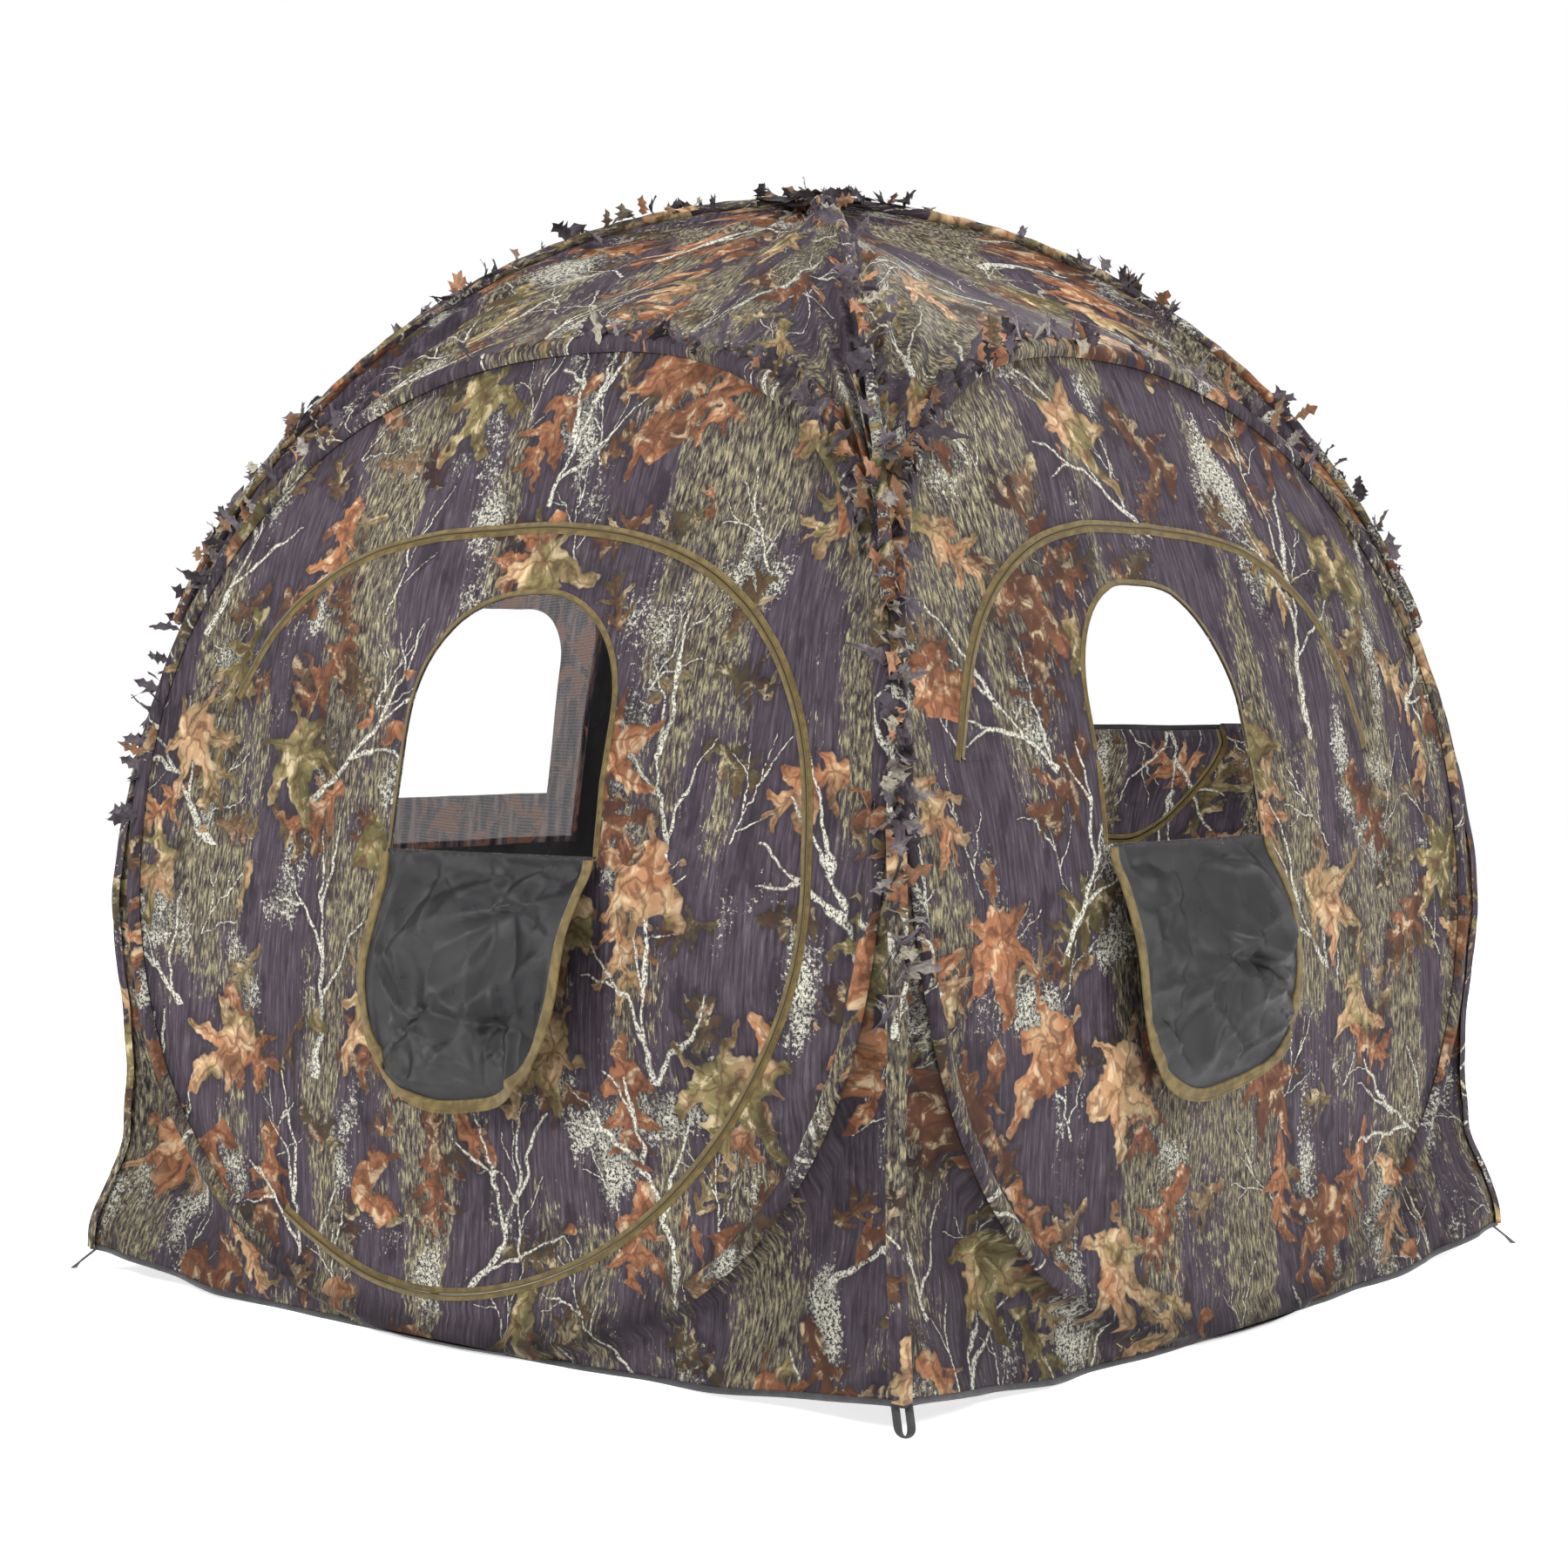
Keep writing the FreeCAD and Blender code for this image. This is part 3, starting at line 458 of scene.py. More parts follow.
class Shader:
    """A short way to write a node tree as sums."""

    def __init__(self, name, **uniform):
        self.material = bpy.data.materials.new(name)
        self.material.use_nodes = True
        self.tree = self.material.node_tree
        self.bsdf = self.tree.nodes["Principled BSDF"]
        for key, value in uniform.items():
            self.bsdf.inputs[key.replace("_", " ")].default_value = value

    def node(self, kind, inputs=None, **settings):
        node = self.tree.nodes.new(kind)
        for key, value in settings.items():
            setattr(node, key, value)
        for key, value in (inputs or {}).items():
            self.feed(node.inputs[key], value)
        return node

    def feed(self, socket, value):
        if isinstance(value, bpy.types.NodeSocket):
            self.tree.links.new(value, socket)
        else:
            socket.default_value = value

    def math(self, op, *values, clamp=False):
        node = self.node("ShaderNodeMath", operation=op, use_clamp=clamp)
        for i, value in enumerate(values):
            self.feed(node.inputs[i], value)
        return node.outputs[0]

    def vector(self, op, *values):
        node = self.node("ShaderNodeVectorMath", operation=op)
        for i, value in enumerate(values):
            self.feed(node.inputs["Scale" if op == "SCALE" and i == 1 else i], value)
        return node.outputs["Value" if op in ("DOT_PRODUCT", "LENGTH", "DISTANCE") else "Vector"]

    def step(self, value, low, high):
        node = self.node("ShaderNodeMapRange", {"Value": value}, interpolation_type="SMOOTHSTEP")
        node.inputs["From Min"].default_value = low
        node.inputs["From Max"].default_value = high
        return node.outputs["Result"]

    def remap(self, value, low, high, new_low, new_high):
        node = self.node("ShaderNodeMapRange", {"Value": value})
        for key, x in (("From Min", low), ("From Max", high), ("To Min", new_low),
                       ("To Max", new_high)):
            node.inputs[key].default_value = x
        return node.outputs["Result"]

    def mix(self, factor, a, b, blend="MIX"):
        node = self.tree.nodes.new("ShaderNodeMix")
        node.data_type = "RGBA"
        node.blend_type = blend
        for socket, value in zip((node.inputs[0], node.inputs[6], node.inputs[7]), (factor, a, b)):
            self.feed(socket, value)
        return node.outputs[2]

    def split(self, vector):
        """The three numbers in a vector."""
        return self.node("ShaderNodeSeparateXYZ", {0: vector}).outputs

    def masked(self, strength, value, low, high):
        """A smooth step, weakened."""
        return self.math("MULTIPLY", self.step(value, low, high), strength)

    def uv(self, name="cloth"):
        return self.node("ShaderNodeUVMap", uv_map=name).outputs["UV"]

    def scaled(self, vector, x, y=None):
        return self.vector("MULTIPLY", vector, (x, x if y is None else y, 1.0))

    def noise(self, vector, scale, detail=2.0, rough=0.5, distortion=0.0, out="Fac"):
        node = self.node("ShaderNodeTexNoise", {"Vector": vector, "Scale": scale, "Detail": detail,
                                                "Roughness": rough, "Distortion": distortion},
                         noise_dimensions="2D")
        return node.outputs[out]

    def ramp(self, value, stops, kind="LINEAR"):
        node = self.node("ShaderNodeValToRGB", {"Fac": value})
        ramp = node.color_ramp
        ramp.interpolation = kind
        while len(ramp.elements) < len(stops):
            ramp.elements.new(0.5)
        for element, (place, colour) in zip(ramp.elements, stops):
            element.position = place
            element.color = colour
        return node.outputs["Color"]

    def bump(self, height, strength, distance, normal=None):
        node = self.node("ShaderNodeBump", {"Height": height, "Strength": strength,
                                            "Distance": distance})
        if normal is not None:
            self.feed(node.inputs["Normal"], normal)
        return node.outputs["Normal"]

    def finish(self, colour=None, rough=None, normal=None, alpha=None):
        for key, value in (("Base Color", colour), ("Roughness", rough), ("Normal", normal),
                           ("Alpha", alpha)):
            if value is not None:
                self.feed(self.bsdf.inputs[key], value)
        return self.material

    def limb(self, point, start, end, thick):
        """Distance to a tapering limb, and to its centre line."""
        a, b = np.array(start, float), np.array(end, float)
        ab = b - a
        rel = self.vector("SUBTRACT", point, (a[0], a[1], 0.0))
        share = ab / (ab @ ab)
        t = self.vector("DOT_PRODUCT", rel, (share[0], share[1], 0.0))
        t = self.math("ADD", t, 0.0, clamp=True)
        nearest = self.vector("SCALE", (ab[0], ab[1], 0.0), t)
        line = self.vector("DISTANCE", rel, nearest)
        return self.math("SUBTRACT", self.math("MULTIPLY_ADD", t, thick * 0.85, line), thick), line

    def union(self, values):
        result = values[0]
        for value in values[1:]:
            result = self.math("MINIMUM", result, value)
        return result


def weave(s, uv, pitch=0.0011, depth=0.00025):
    """Plain cloth weave, as a height."""
    wide = s.scaled(uv, 2 * math.pi / pitch)
    across, up, _ = s.split(wide)
    x, y = s.math("SINE", across), s.math("SINE", up)
    return s.math("MULTIPLY", s.math("MULTIPLY", x, y), depth)


def scattered(s, uv, cells, offset, warp_size, warp_noise, randomness):
    """One motif to a cell: the cell's random values, and the place within it, bent by noise."""
    p = s.vector("ADD", s.scaled(uv, cells), (*offset, 0.0))
    warp = s.vector("SUBTRACT", s.noise(p, *warp_noise, out="Color"), (0.5, 0.5, 0.5))
    cell = s.node("ShaderNodeTexVoronoi", {"Vector": p, "Scale": 1.0, "Randomness": randomness},
                  voronoi_dimensions="2D")
    chance = s.split(cell.outputs["Color"])
    local = s.vector("SUBTRACT", p, cell.outputs["Position"])
    local = s.vector("ADD", local, s.vector("MULTIPLY", warp, (warp_size, warp_size, 0.0)))
    return chance, local


def spun(s, local, chance, start, sweep):
    """The place within a cell, turned by the cell's own random angle."""
    angle = s.math("MULTIPLY_ADD", chance[0], sweep, start)
    return s.node("ShaderNodeVectorRotate", {"Vector": local, "Angle": angle},
                  rotation_type="Z_AXIS").outputs[0]


def leaf_layer(s, uv, under, cells, seed, spin, keep, palette, light=1.0, clump=0.5, shape=0):
    """Scatters lobed leaves over a colour."""
    chance, local = scattered(s, uv, cells, (seed * 3.17, seed * 1.71), 0.36, (2.7, 3.0, 0.62), 0.9)
    local = spun(s, local, chance, spin[0], spin[1] - spin[0])
    flip = s.vector("ABSOLUTE", s.vector("MULTIPLY", local, (1.0, 0.0, 0.0)))
    folded = s.vector("ADD", flip, s.vector("MULTIPLY", local, (0.0, 1.0, 0.0)))
    maple = [((0, -0.50), (0, -0.1), 0.020), ((0, -0.18), (0, 0.44), 0.145),
             ((0, -0.12), (0.36, 0.17), 0.130), ((0, -0.16), (0.30, -0.22), 0.095)]
    oak = [((0, -0.50), (0, 0.40), 0.085), ((0, -0.22), (0.24, -0.12), 0.080),
           ((0, -0.02), (0.30, 0.14), 0.090), ((0, 0.18), (0.20, 0.38), 0.075)]
    limbs = [s.limb(folded, *limb) for limb in (maple, oak)[shape]]
    edge = s.union([limb[0] for limb in limbs])
    vein = s.union([limb[1] for limb in limbs])
    near = s.noise(uv, 3.1 + 0.7 * seed, 1.0)
    chosen = s.math("LESS_THAN", s.math("MULTIPLY_ADD", near, clump, chance[1]),
                    keep + clump * 0.5)
    mask = s.math("MULTIPLY", s.step(edge, 0.012, -0.004), chosen)
    drift = s.math("SUBTRACT", s.noise(uv, 13.0, 2.0), 0.5)
    colour = s.ramp(s.math("MULTIPLY_ADD", drift, 0.7, chance[2]), palette)
    tone = s.noise(uv, 34.0, 4.0, 0.66, 0.5)
    for strength, value, low, high, tint in (
            (0.62, tone, 0.52, 0.68, (214, 194, 158)), (0.62, tone, 0.48, 0.34, (72, 46, 36)),
            (0.55, vein, 0.020, 0.004, (78, 48, 34))):
        colour = s.mix(s.masked(strength, value, low, high), colour, srgb(*tint))
    shade = s.math("MULTIPLY_ADD", s.step(s.split(local)[0], -0.04, 0.05), 0.26, 0.80 * light)
    shade = s.math("SUBTRACT", shade, s.masked(0.30, edge, -0.035, 0.01))
    colour = s.vector("SCALE", colour, shade)
    shadow_edge = s.math("MULTIPLY", s.step(edge, 0.10, 0.0), chosen)
    under = s.mix(s.math("MULTIPLY", shadow_edge, 0.45), under, srgb(34, 27, 33))
    return s.mix(mask, under, colour)


def twig_layer(s, uv, under, cells, seed, keep, thick=1.0, lean=0.85):
    """Scatters pale forked twigs over a colour."""
    chance, local = scattered(s, uv, cells, (seed * 5.3, seed * 2.9), 0.20, (2.2, 3.0, 0.6), 0.75)
    local = spun(s, local, chance, -lean, 2 * lean)
    limbs = [((0.03, -0.62), (0, 0.1), 0.017), ((0, 0.08), (0.1, 0.62), 0.010),
             ((0.01, -0.12), (-0.26, 0.30), 0.010), ((0.0, 0.1), (-0.06, 0.44), 0.006),
             ((0.02, -0.3), (0.30, 0.08), 0.008), ((-0.13, 0.1), (-0.34, 0.16), 0.005)]
    edge = s.union([s.limb(local, a, b, w * thick)[0] for a, b, w in limbs])
    chosen = s.math("LESS_THAN", chance[1], keep)
    speck = s.noise(uv, 230.0, 3.0, 0.75)
    mask = s.math("MULTIPLY", s.step(edge, 0.006, -0.002), chosen)
    mask = s.math("MULTIPLY", mask, s.step(speck, 0.36, 0.46))
    tone = s.ramp(speck, [(0.42, srgb(96, 92, 86)), (0.54, srgb(206, 204, 188))])
    dark = s.math("MULTIPLY", s.step(edge, 0.045, 0.0), chosen)
    under = s.mix(s.math("MULTIPLY", dark, 0.35), under, srgb(40, 34, 40))
    return s.mix(mask, under, tone)


# Leaf colours run from dark brown through rust and cream to olive, so near neighbours blend.
RUST = [(0.0, srgb(84, 56, 42)), (0.24, srgb(134, 88, 62)), (0.52, srgb(158, 108, 76)),
        (0.70, srgb(176, 144, 108)), (0.84, srgb(122, 112, 74)), (1.0, srgb(84, 80, 50))]
DULL = [(0.0, srgb(52, 42, 42)), (0.35, srgb(86, 80, 56)), (0.7, srgb(106, 72, 54)),
        (1.0, srgb(130, 120, 90))]


def camo(name, shift, dim=1.0):
    """Woodland print: dim trunks and bark, forked twigs, and fallen leaves."""
    s = Shader(name, Specular_IOR_Level=0.16)
    raw = s.uv()
    uv = s.vector("ADD", raw, (shift[0], shift[1], 0.0))
    drift = s.vector("SUBTRACT", s.noise(uv, 1.7, 2.0, out="Color"), (0.5, 0.5, 0.5))
    bent = s.vector("ADD", uv, s.vector("MULTIPLY", drift, (0.07, 0.08, 0.0)))
    fibre = s.noise(s.scaled(bent, 190.0, 13.0), 1.0, 5.0, 0.72)
    base = s.ramp(fibre, [(0.30, srgb(42, 35, 41)), (0.50, srgb(66, 57, 66)),
                          (0.64, srgb(82, 73, 81)), (0.78, srgb(118, 110, 112))])
    flecks = s.noise(s.scaled(bent, 215.0, 48.0), 1.0, 5.0, 0.74, 0.25)
    bark = s.ramp(flecks, [(0.37, srgb(34, 28, 32)), (0.47, srgb(76, 68, 66)),
                           (0.56, srgb(124, 116, 92)), (0.68, srgb(172, 164, 128))])
    trunk = s.noise(s.scaled(bent, 6.4, 1.15), 1.0, 2.0, 0.5)
    mass = s.math("MULTIPLY_ADD", s.noise(uv, 9.0, 3.0), 0.22, trunk)
    mass = s.math("MULTIPLY_ADD", flecks, 0.34, mass)
    colour = s.mix(s.step(mass, 0.80, 0.84), base, bark)
    lichen = s.math("MULTIPLY_ADD", s.noise(uv, 120.0, 4.0, 0.75), 0.5,
                    s.noise(s.scaled(uv, 8.0, 4.6), 1.0, 2.0))
    crust = s.ramp(s.noise(uv, 210.0, 4.0, 0.8),
                   [(0.44, srgb(38, 32, 38)), (0.54, srgb(196, 194, 178))])
    colour = s.mix(s.step(lichen, 0.90, 0.94), colour, crust)
    blot = s.noise(s.scaled(uv, 17.0, 9.0), 1.0, 3.0, 0.6)
    colour = s.mix(s.masked(0.6, blot, 0.60, 0.68), colour, srgb(38, 31, 39))
    colour = leaf_layer(s, uv, colour, 9.5, 1, (-2.6, 2.6), 0.34, DULL, 0.9, 0.5, 1)
    colour = twig_layer(s, uv, colour, 5.8, 2, 0.50, 0.62)
    colour = leaf_layer(s, uv, colour, 5.6, 3, (2.0, 4.4), 0.52, RUST, 1.0, 0.7, 1)
    colour = twig_layer(s, uv, colour, 3.1, 4, 0.75, 1.0, 1.1)
    colour = leaf_layer(s, uv, colour, 4.5, 5, (1.9, 4.6), 0.50, RUST, 1.05, 0.8, 0)
    soft = s.noise(uv, 3.0, 3.0, 0.6)
    # dim scales the whole print down as a painted shade, for a darker copy of the same cloth.
    light = s.remap(soft, 0.3, 0.7, 0.84 * dim, 1.06 * dim)
    # The shade attribute brings in the painted shade drawn on each piece.
    shade = s.node("ShaderNodeAttribute", attribute_name="shade").outputs["Fac"]
    colour = s.vector("SCALE", colour, s.math("MULTIPLY", light, shade))
    crinkle = s.noise(raw, 26.0, 4.0, 0.6, 0.6)
    height = s.math("ADD", weave(s, raw), s.math("MULTIPLY", crinkle, 0.0016))
    normal = s.bump(height, 0.55, 1.0)
    return s.finish(colour, s.remap(crinkle, 0.3, 0.7, 0.66, 0.80), normal)


def plain_cloth(name, dark, light, rough, bump=0.0012, pitch=0.0011, uv_name="cloth", **uniform):
    """A one-colour cloth with weave, uneven tone and small creases."""
    s = Shader(name, **uniform)
    uv = s.uv(uv_name)
    tone = s.noise(uv, 38.0, 5.0, 0.65)
    crease = s.noise(uv, 19.0, 4.0, 0.6, 0.8)
    colour = s.mix(s.step(tone, 0.32, 0.68), dark, light)
    height = s.math("ADD", weave(s, uv, pitch), s.math("MULTIPLY", crease, bump))
    return s.finish(colour, s.remap(crease, 0.3, 0.7, rough - 0.08, rough + 0.08),
                    s.bump(height, 0.6, 1.0))


def zip_tape():
    """Olive herringbone tape."""
    s = Shader("zip_tape", Sheen_Weight=0.1, Specular_IOR_Level=0.3)
    uv = s.uv("run")
    sideways, along, _ = s.split(uv)
    across = s.math("ABSOLUTE", sideways)
    rib = s.math("SINE", s.math("MULTIPLY_ADD", along, 5200.0,
                                s.math("MULTIPLY", across, 5200.0)))
    beat = s.math("GREATER_THAN", s.math("SINE", s.math("MULTIPLY", along, 2200.0)), -0.2)
    off_line = s.math("ABSOLUTE", s.math("SUBTRACT", across, 0.0062))
    stitch = s.math("MULTIPLY", beat, s.step(off_line, 0.0006, 0.0003))
    tone = s.noise(uv, 60.0, 4.0, 0.6)
    colour = s.mix(s.step(tone, 0.3, 0.7), srgb(84, 70, 36), srgb(116, 99, 56))
    colour = s.mix(s.math("MULTIPLY", stitch, 0.5), colour, srgb(70, 58, 34))
    height = s.math("ADD", s.math("MULTIPLY", rib, 0.00012), s.math("MULTIPLY", stitch, -0.0003))
    return s.finish(colour, 0.68, s.bump(height, 0.8, 1.0))


def zip_coil():
    """The nylon coil along the middle of a zip."""
    s = Shader("zip_coil", Specular_IOR_Level=0.45)
    across, along, _ = s.split(s.uv("run"))
    tooth = s.math("SINE", s.math("MULTIPLY", along, 3800.0))
    seam = s.step(s.math("ABSOLUTE", across), 0.0, 0.0012)
    colour = s.mix(s.step(tooth, -0.6, 0.6), srgb(52, 42, 20), srgb(128, 108, 58))
    colour = s.mix(seam, srgb(36, 29, 14), colour)
    height = s.math("MULTIPLY", tooth, 0.0004)
    return s.finish(colour, 0.45, s.bump(height, 0.9, 1.0))


def object_noise(s, scale):
    """Noise in the object's own space, for hard parts with no cloth map."""
    place = s.node("ShaderNodeTexCoord").outputs["Object"]
    return s.node("ShaderNodeTexNoise",
                  {"Vector": place, "Scale": scale, "Detail": 3.0}).outputs["Fac"]


def hard(name, dark, light, rough, grain=300.0, **uniform):
    """A hard finish: metal, plastic or cord, with fine grain and wear."""
    s = Shader(name, **uniform)
    tone = object_noise(s, grain)
    worn = object_noise(s, grain / 12)
    colour = s.mix(s.step(tone, 0.3, 0.7), dark, light)
    colour = s.mix(s.masked(0.35, worn, 0.5, 0.8), colour, light)
    height = s.math("MULTIPLY", tone, 0.0002)
    return s.finish(colour, s.remap(worn, 0.3, 0.7, rough - 0.06, rough + 0.1),
                    s.bump(height, 0.5, 1.0))


def mesh_cloth():
    """See-through camouflage netting."""
    s = Shader("camo_mesh", Specular_IOR_Level=0.2)
    uv = s.uv()
    wide = s.scaled(uv, 2 * math.pi / 0.0042)
    across, up, _ = s.split(wide)
    cell = s.math("MULTIPLY", s.math("SINE", across), s.math("SINE", up))
    bark = s.noise(s.scaled(uv, 60.0, 9.0), 1.0, 4.0, 0.6)
    leaf = s.noise(uv, 17.0, 2.0, 0.6, 0.8)
    colour = s.ramp(bark, [(0.35, srgb(34, 30, 34)), (0.5, srgb(74, 63, 66)),
                           (0.66, srgb(118, 100, 92))])
    colour = s.mix(s.step(leaf, 0.52, 0.60), colour, srgb(112, 78, 62))
    alpha = s.remap(s.step(s.math("ABSOLUTE", cell), 0.45, 0.60), 0.0, 1.0, 1.0, 0.72)
    return s.finish(colour, 0.8, s.bump(s.math("MULTIPLY", cell, 0.0004), 0.6, 1.0), alpha)


def trim_cloth():
    """Cut leaves: each has its own colour, kept on the mesh."""
    s = Shader("cut_leaf", Sheen_Weight=0.1, Specular_IOR_Level=0.25)
    tint = s.node("ShaderNodeAttribute", attribute_name="tint").outputs["Fac"]
    uv = s.uv()
    fine = s.noise(uv, 95.0, 5.0, 0.75)
    colour = s.ramp(s.math("MULTIPLY_ADD", s.math("SUBTRACT", fine, 0.5), 0.7, tint), [
        (0.0, srgb(40, 34, 38)), (0.30, srgb(76, 68, 76)), (0.48, srgb(116, 108, 104)),
        (0.60, srgb(160, 154, 138)), (0.72, srgb(90, 80, 56)), (0.84, srgb(124, 82, 60)),
        (1.0, srgb(158, 116, 86))])
    height = s.math("MULTIPLY", fine, 0.0008)
    return s.finish(colour, 0.8, s.bump(height, 0.6, 1.0))


CAMO = {w: camo("camo_" + w, (1.7 * i, 0.9 * i)) for i, w in enumerate(WALLS)}
CAMO_ROOF = camo("camo_roof", (5.3, 4.1))
CAMO_DOOR = camo("camo_door", (0.0, 0.0))
LINING = plain_cloth("lining", srgb(13, 11, 14), srgb(22, 19, 23), 0.33, 0.0004,
                     Specular_IOR_Level=0.52)
BLACK = plain_cloth("black_binding", srgb(22, 22, 25), srgb(44, 44, 50), 0.6, pitch=0.0008,
                    uv_name="run", Sheen_Weight=0.2)
TAPE, COIL = zip_tape(), zip_coil()
STEEL = hard("spring_steel", srgb(96, 98, 104), srgb(160, 162, 166), 0.34, Metallic=1.0)
DARK_METAL = hard("dark_metal", srgb(30, 29, 28), srgb(84, 80, 72), 0.38, 900.0, Metallic=0.9)
ALLOY = hard("alloy", srgb(140, 142, 146), srgb(196, 198, 202), 0.32, Metallic=1.0)
FIBRE = hard("black_fibreglass", srgb(14, 14, 16), srgb(40, 40, 42), 0.36)
ELASTIC = hard("white_elastic", srgb(190, 188, 180), srgb(226, 224, 218), 0.7, 700.0)
CORD = hard("black_cord", srgb(12, 12, 13), srgb(38, 38, 40), 0.66, 1400.0)
NET = mesh_cloth()
TRIM = trim_cloth()


def paint(obj, *materials):
    """Gives a piece these materials and no others."""
    obj.data.materials.clear()
    for m in materials:
        obj.data.materials.append(m)
    return obj


def done(obj, body, node=None):
    """Puts a piece on its body, in place of its CAD solid."""
    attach(obj, body)
    if node:
        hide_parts(*([node] if isinstance(node, str) else node))
    return obj


# ---- camera ------------------------------------------------------------------------------
CAMERA_TURN, CAMERA_AWAY, CAMERA_UP = math.radians(39.3), 4.42, 0.85
CAMERA_PITCH, CAMERA_YAW, LENS = math.radians(1.43), math.radians(-0.52), 65.5
place = Vector((math.sin(CAMERA_TURN) * CAMERA_AWAY, -math.cos(CAMERA_TURN) * CAMERA_AWAY, CAMERA_UP))
level = Vector((-math.sin(CAMERA_TURN - CAMERA_YAW), math.cos(CAMERA_TURN - CAMERA_YAW), 0))
look = level * math.cos(CAMERA_PITCH) - Vector((0, 0, 1)) * math.sin(CAMERA_PITCH)
camera = bpy.data.objects.new("camera", bpy.data.cameras.new("camera"))
bpy.context.scene.collection.objects.link(camera)
camera.location = place
camera.rotation_euler = look.to_track_quat("-Z", "Y").to_euler()
camera.data.lens = LENS
camera.data.sensor_width = 36
camera.data.clip_start = 0.05
bpy.context.scene.camera = camera


# ---- walls -------------------------------------------------------------------------------

def wall_loop():
    """Full width up to the eave, then along the hoop."""
    heights = np.arange(0.0, EAVE_Z, GRID)
    corner = half_width(heights) + 0.0006
    left = np.stack([-corner, heights], 1)
    right = np.stack([corner, heights], 1)[::-1]
    bottom = np.stack([np.linspace(corner[0], -corner[0], 118)[1:-1], np.zeros(116)], 1)
    return np.vstack([left, upper_hoop(900, 120), right, bottom])


def level_line(start, stop, z, count):
    """Points along a level line on a wall."""
    return np.stack([np.linspace(start, stop, count), np.full(count, z)], 1)


PANEL_EDGE = spline_path(PANEL_ZIP)


def panel_loop(shift, low):
    """The shooting panel's outline down to its fold line."""
    edge = beside(PANEL_EDGE, shift)
    edge = edge[edge[:, 1] > low + FOLD_ROOM]
    return np.vstack([edge, level_line(edge[-1, 0], edge[0, 0], low, 84)])


def hole_b():
    """The closed side wall's opening: the panel above the fold and the window's foot below it."""
    panel = panel_loop(0.002, FOLD_Z)
    foot = arch_path(*SIDE_WINDOW)
    left, right = foot[foot[:, 0] < SIDE_WINDOW[0]], foot[foot[:, 0] > SIDE_WINDOW[0]]
    left = left[left[:, 1] < FOLD_Z - FOLD_ROOM]
    right = right[right[:, 1] < FOLD_Z - FOLD_ROOM]
    sill = evenly(np.array([left[0], right[-1]]), 30)[1:-1]
    edge = panel[panel[:, 1] > FOLD_Z + 0.001]
    low_right = level_line(edge[-1, 0], right[0, 0], FOLD_Z, 28)
    low_left = level_line(left[-1, 0], edge[0, 0], FOLD_Z, 28)
    return np.vstack([edge, low_right, right, sill[::-1], left, low_left])


def build_walls():
    """The four walls, each with its own opening."""
    outer = wall_loop()
    holes = {"a": beside(spline_path(DOOR_ZIP), ZIP_EDGE), "b": hole_b(),
             "c": panel_loop(0.002, REAR_FOLD_Z), "d": shut(arch_path(*BACK_WINDOW), 30)}
    for turn, letter in enumerate(WALLS):
        obj, area = wall_sheet("wall_cloth_" + letter, turn, outer, [holes[letter]], letter)
        done(obj, "shell", "wall_" + letter)


build_walls()

# ---- door and shooting panels ------------------------------------------------------------

def build_door():
    """The round door, out to its zip and across to the line it is sewn along."""
    edge = beside(spline_path(DOOR_ZIP), -ZIP_EDGE)
    hinge = evenly(np.array([edge[-1], edge[0]]), 60)[1:-1] + np.array([-DOOR_SEAM, 0.0])
    window = shut(arch_path(*DOOR_WINDOW), 30)
    obj, area = wall_sheet("door_cloth", 0, np.vstack([edge, hinge]), [window], "a")
    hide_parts("door_panel")
    middle = (np.array(DOOR_TOP) + np.array(DOOR_FOOT)) / 2
    line = np.array(DOOR_TOP) - np.array(DOOR_FOOT)
    side = np.array([line[1], -line[0]]) / np.linalg.norm(line)
    start, end = (on_wall(0, *(middle + side * d)) for d in (-DOOR_SEAM, 0.03))
    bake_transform(obj)


def fold_down(points):
    """Swings points of the rear panel, closed, to where it hangs inside."""
    hinge = np.array([0.0, -float(half_width(REAR_FOLD_Z)) - 0.0004, REAR_FOLD_Z])
    c, s = math.cos(FOLD_OPEN), math.sin(FOLD_OPEN)
    rel = np.asarray(points) - turned(hinge, 2)
    axis = np.array([1.0, 0.0, 0.0])
    cross = np.cross(axis, rel)
    along = (rel @ axis)[..., None] * axis
    return turned(hinge, 2) + rel * c + cross * s + along * (1 - c)


def sagging(turn, u, z, n=0.0):
    """The rear panel's slack: a rounded fold, then loose waves down to its edge."""
    u, z = np.asarray(u, float), np.asarray(z, float)
    drop = np.clip((z - REAR_FOLD_Z) / 0.28, 0, 1)
    sag = waves(u, z * 0.6, 0.10, 77) * 0.016 * drop + np.sin(u * 21 + 1.0) * 0.012 * drop
    height = z - REAR_FOLD_Z
    sag = sag - 0.026 * smooth(height, 0.0, 0.03) * np.exp(-(height / 0.10) ** 2)
    return drape(turn, u, z, n + sag)


def hung_panel(name, turn, loop, letter, folded):
    """Cloth of the print, cut to an outline; folded, it hangs down inside with the rear panel."""
    flat, faces = flat_cut(loop, [], GRID)
    place = drape(turn, flat[:, 0], flat[:, 1])
    face = outward(place, faces, turn)
    if folded:
        place = fold_down(sagging(turn, flat[:, 0], flat[:, 1]))
    obj = mesh_object(name, place, face, {"cloth": flat + np.array([PRINT_SHIFT * turn, 0])})
    return thin(paint(obj, CAMO[letter], LINING))


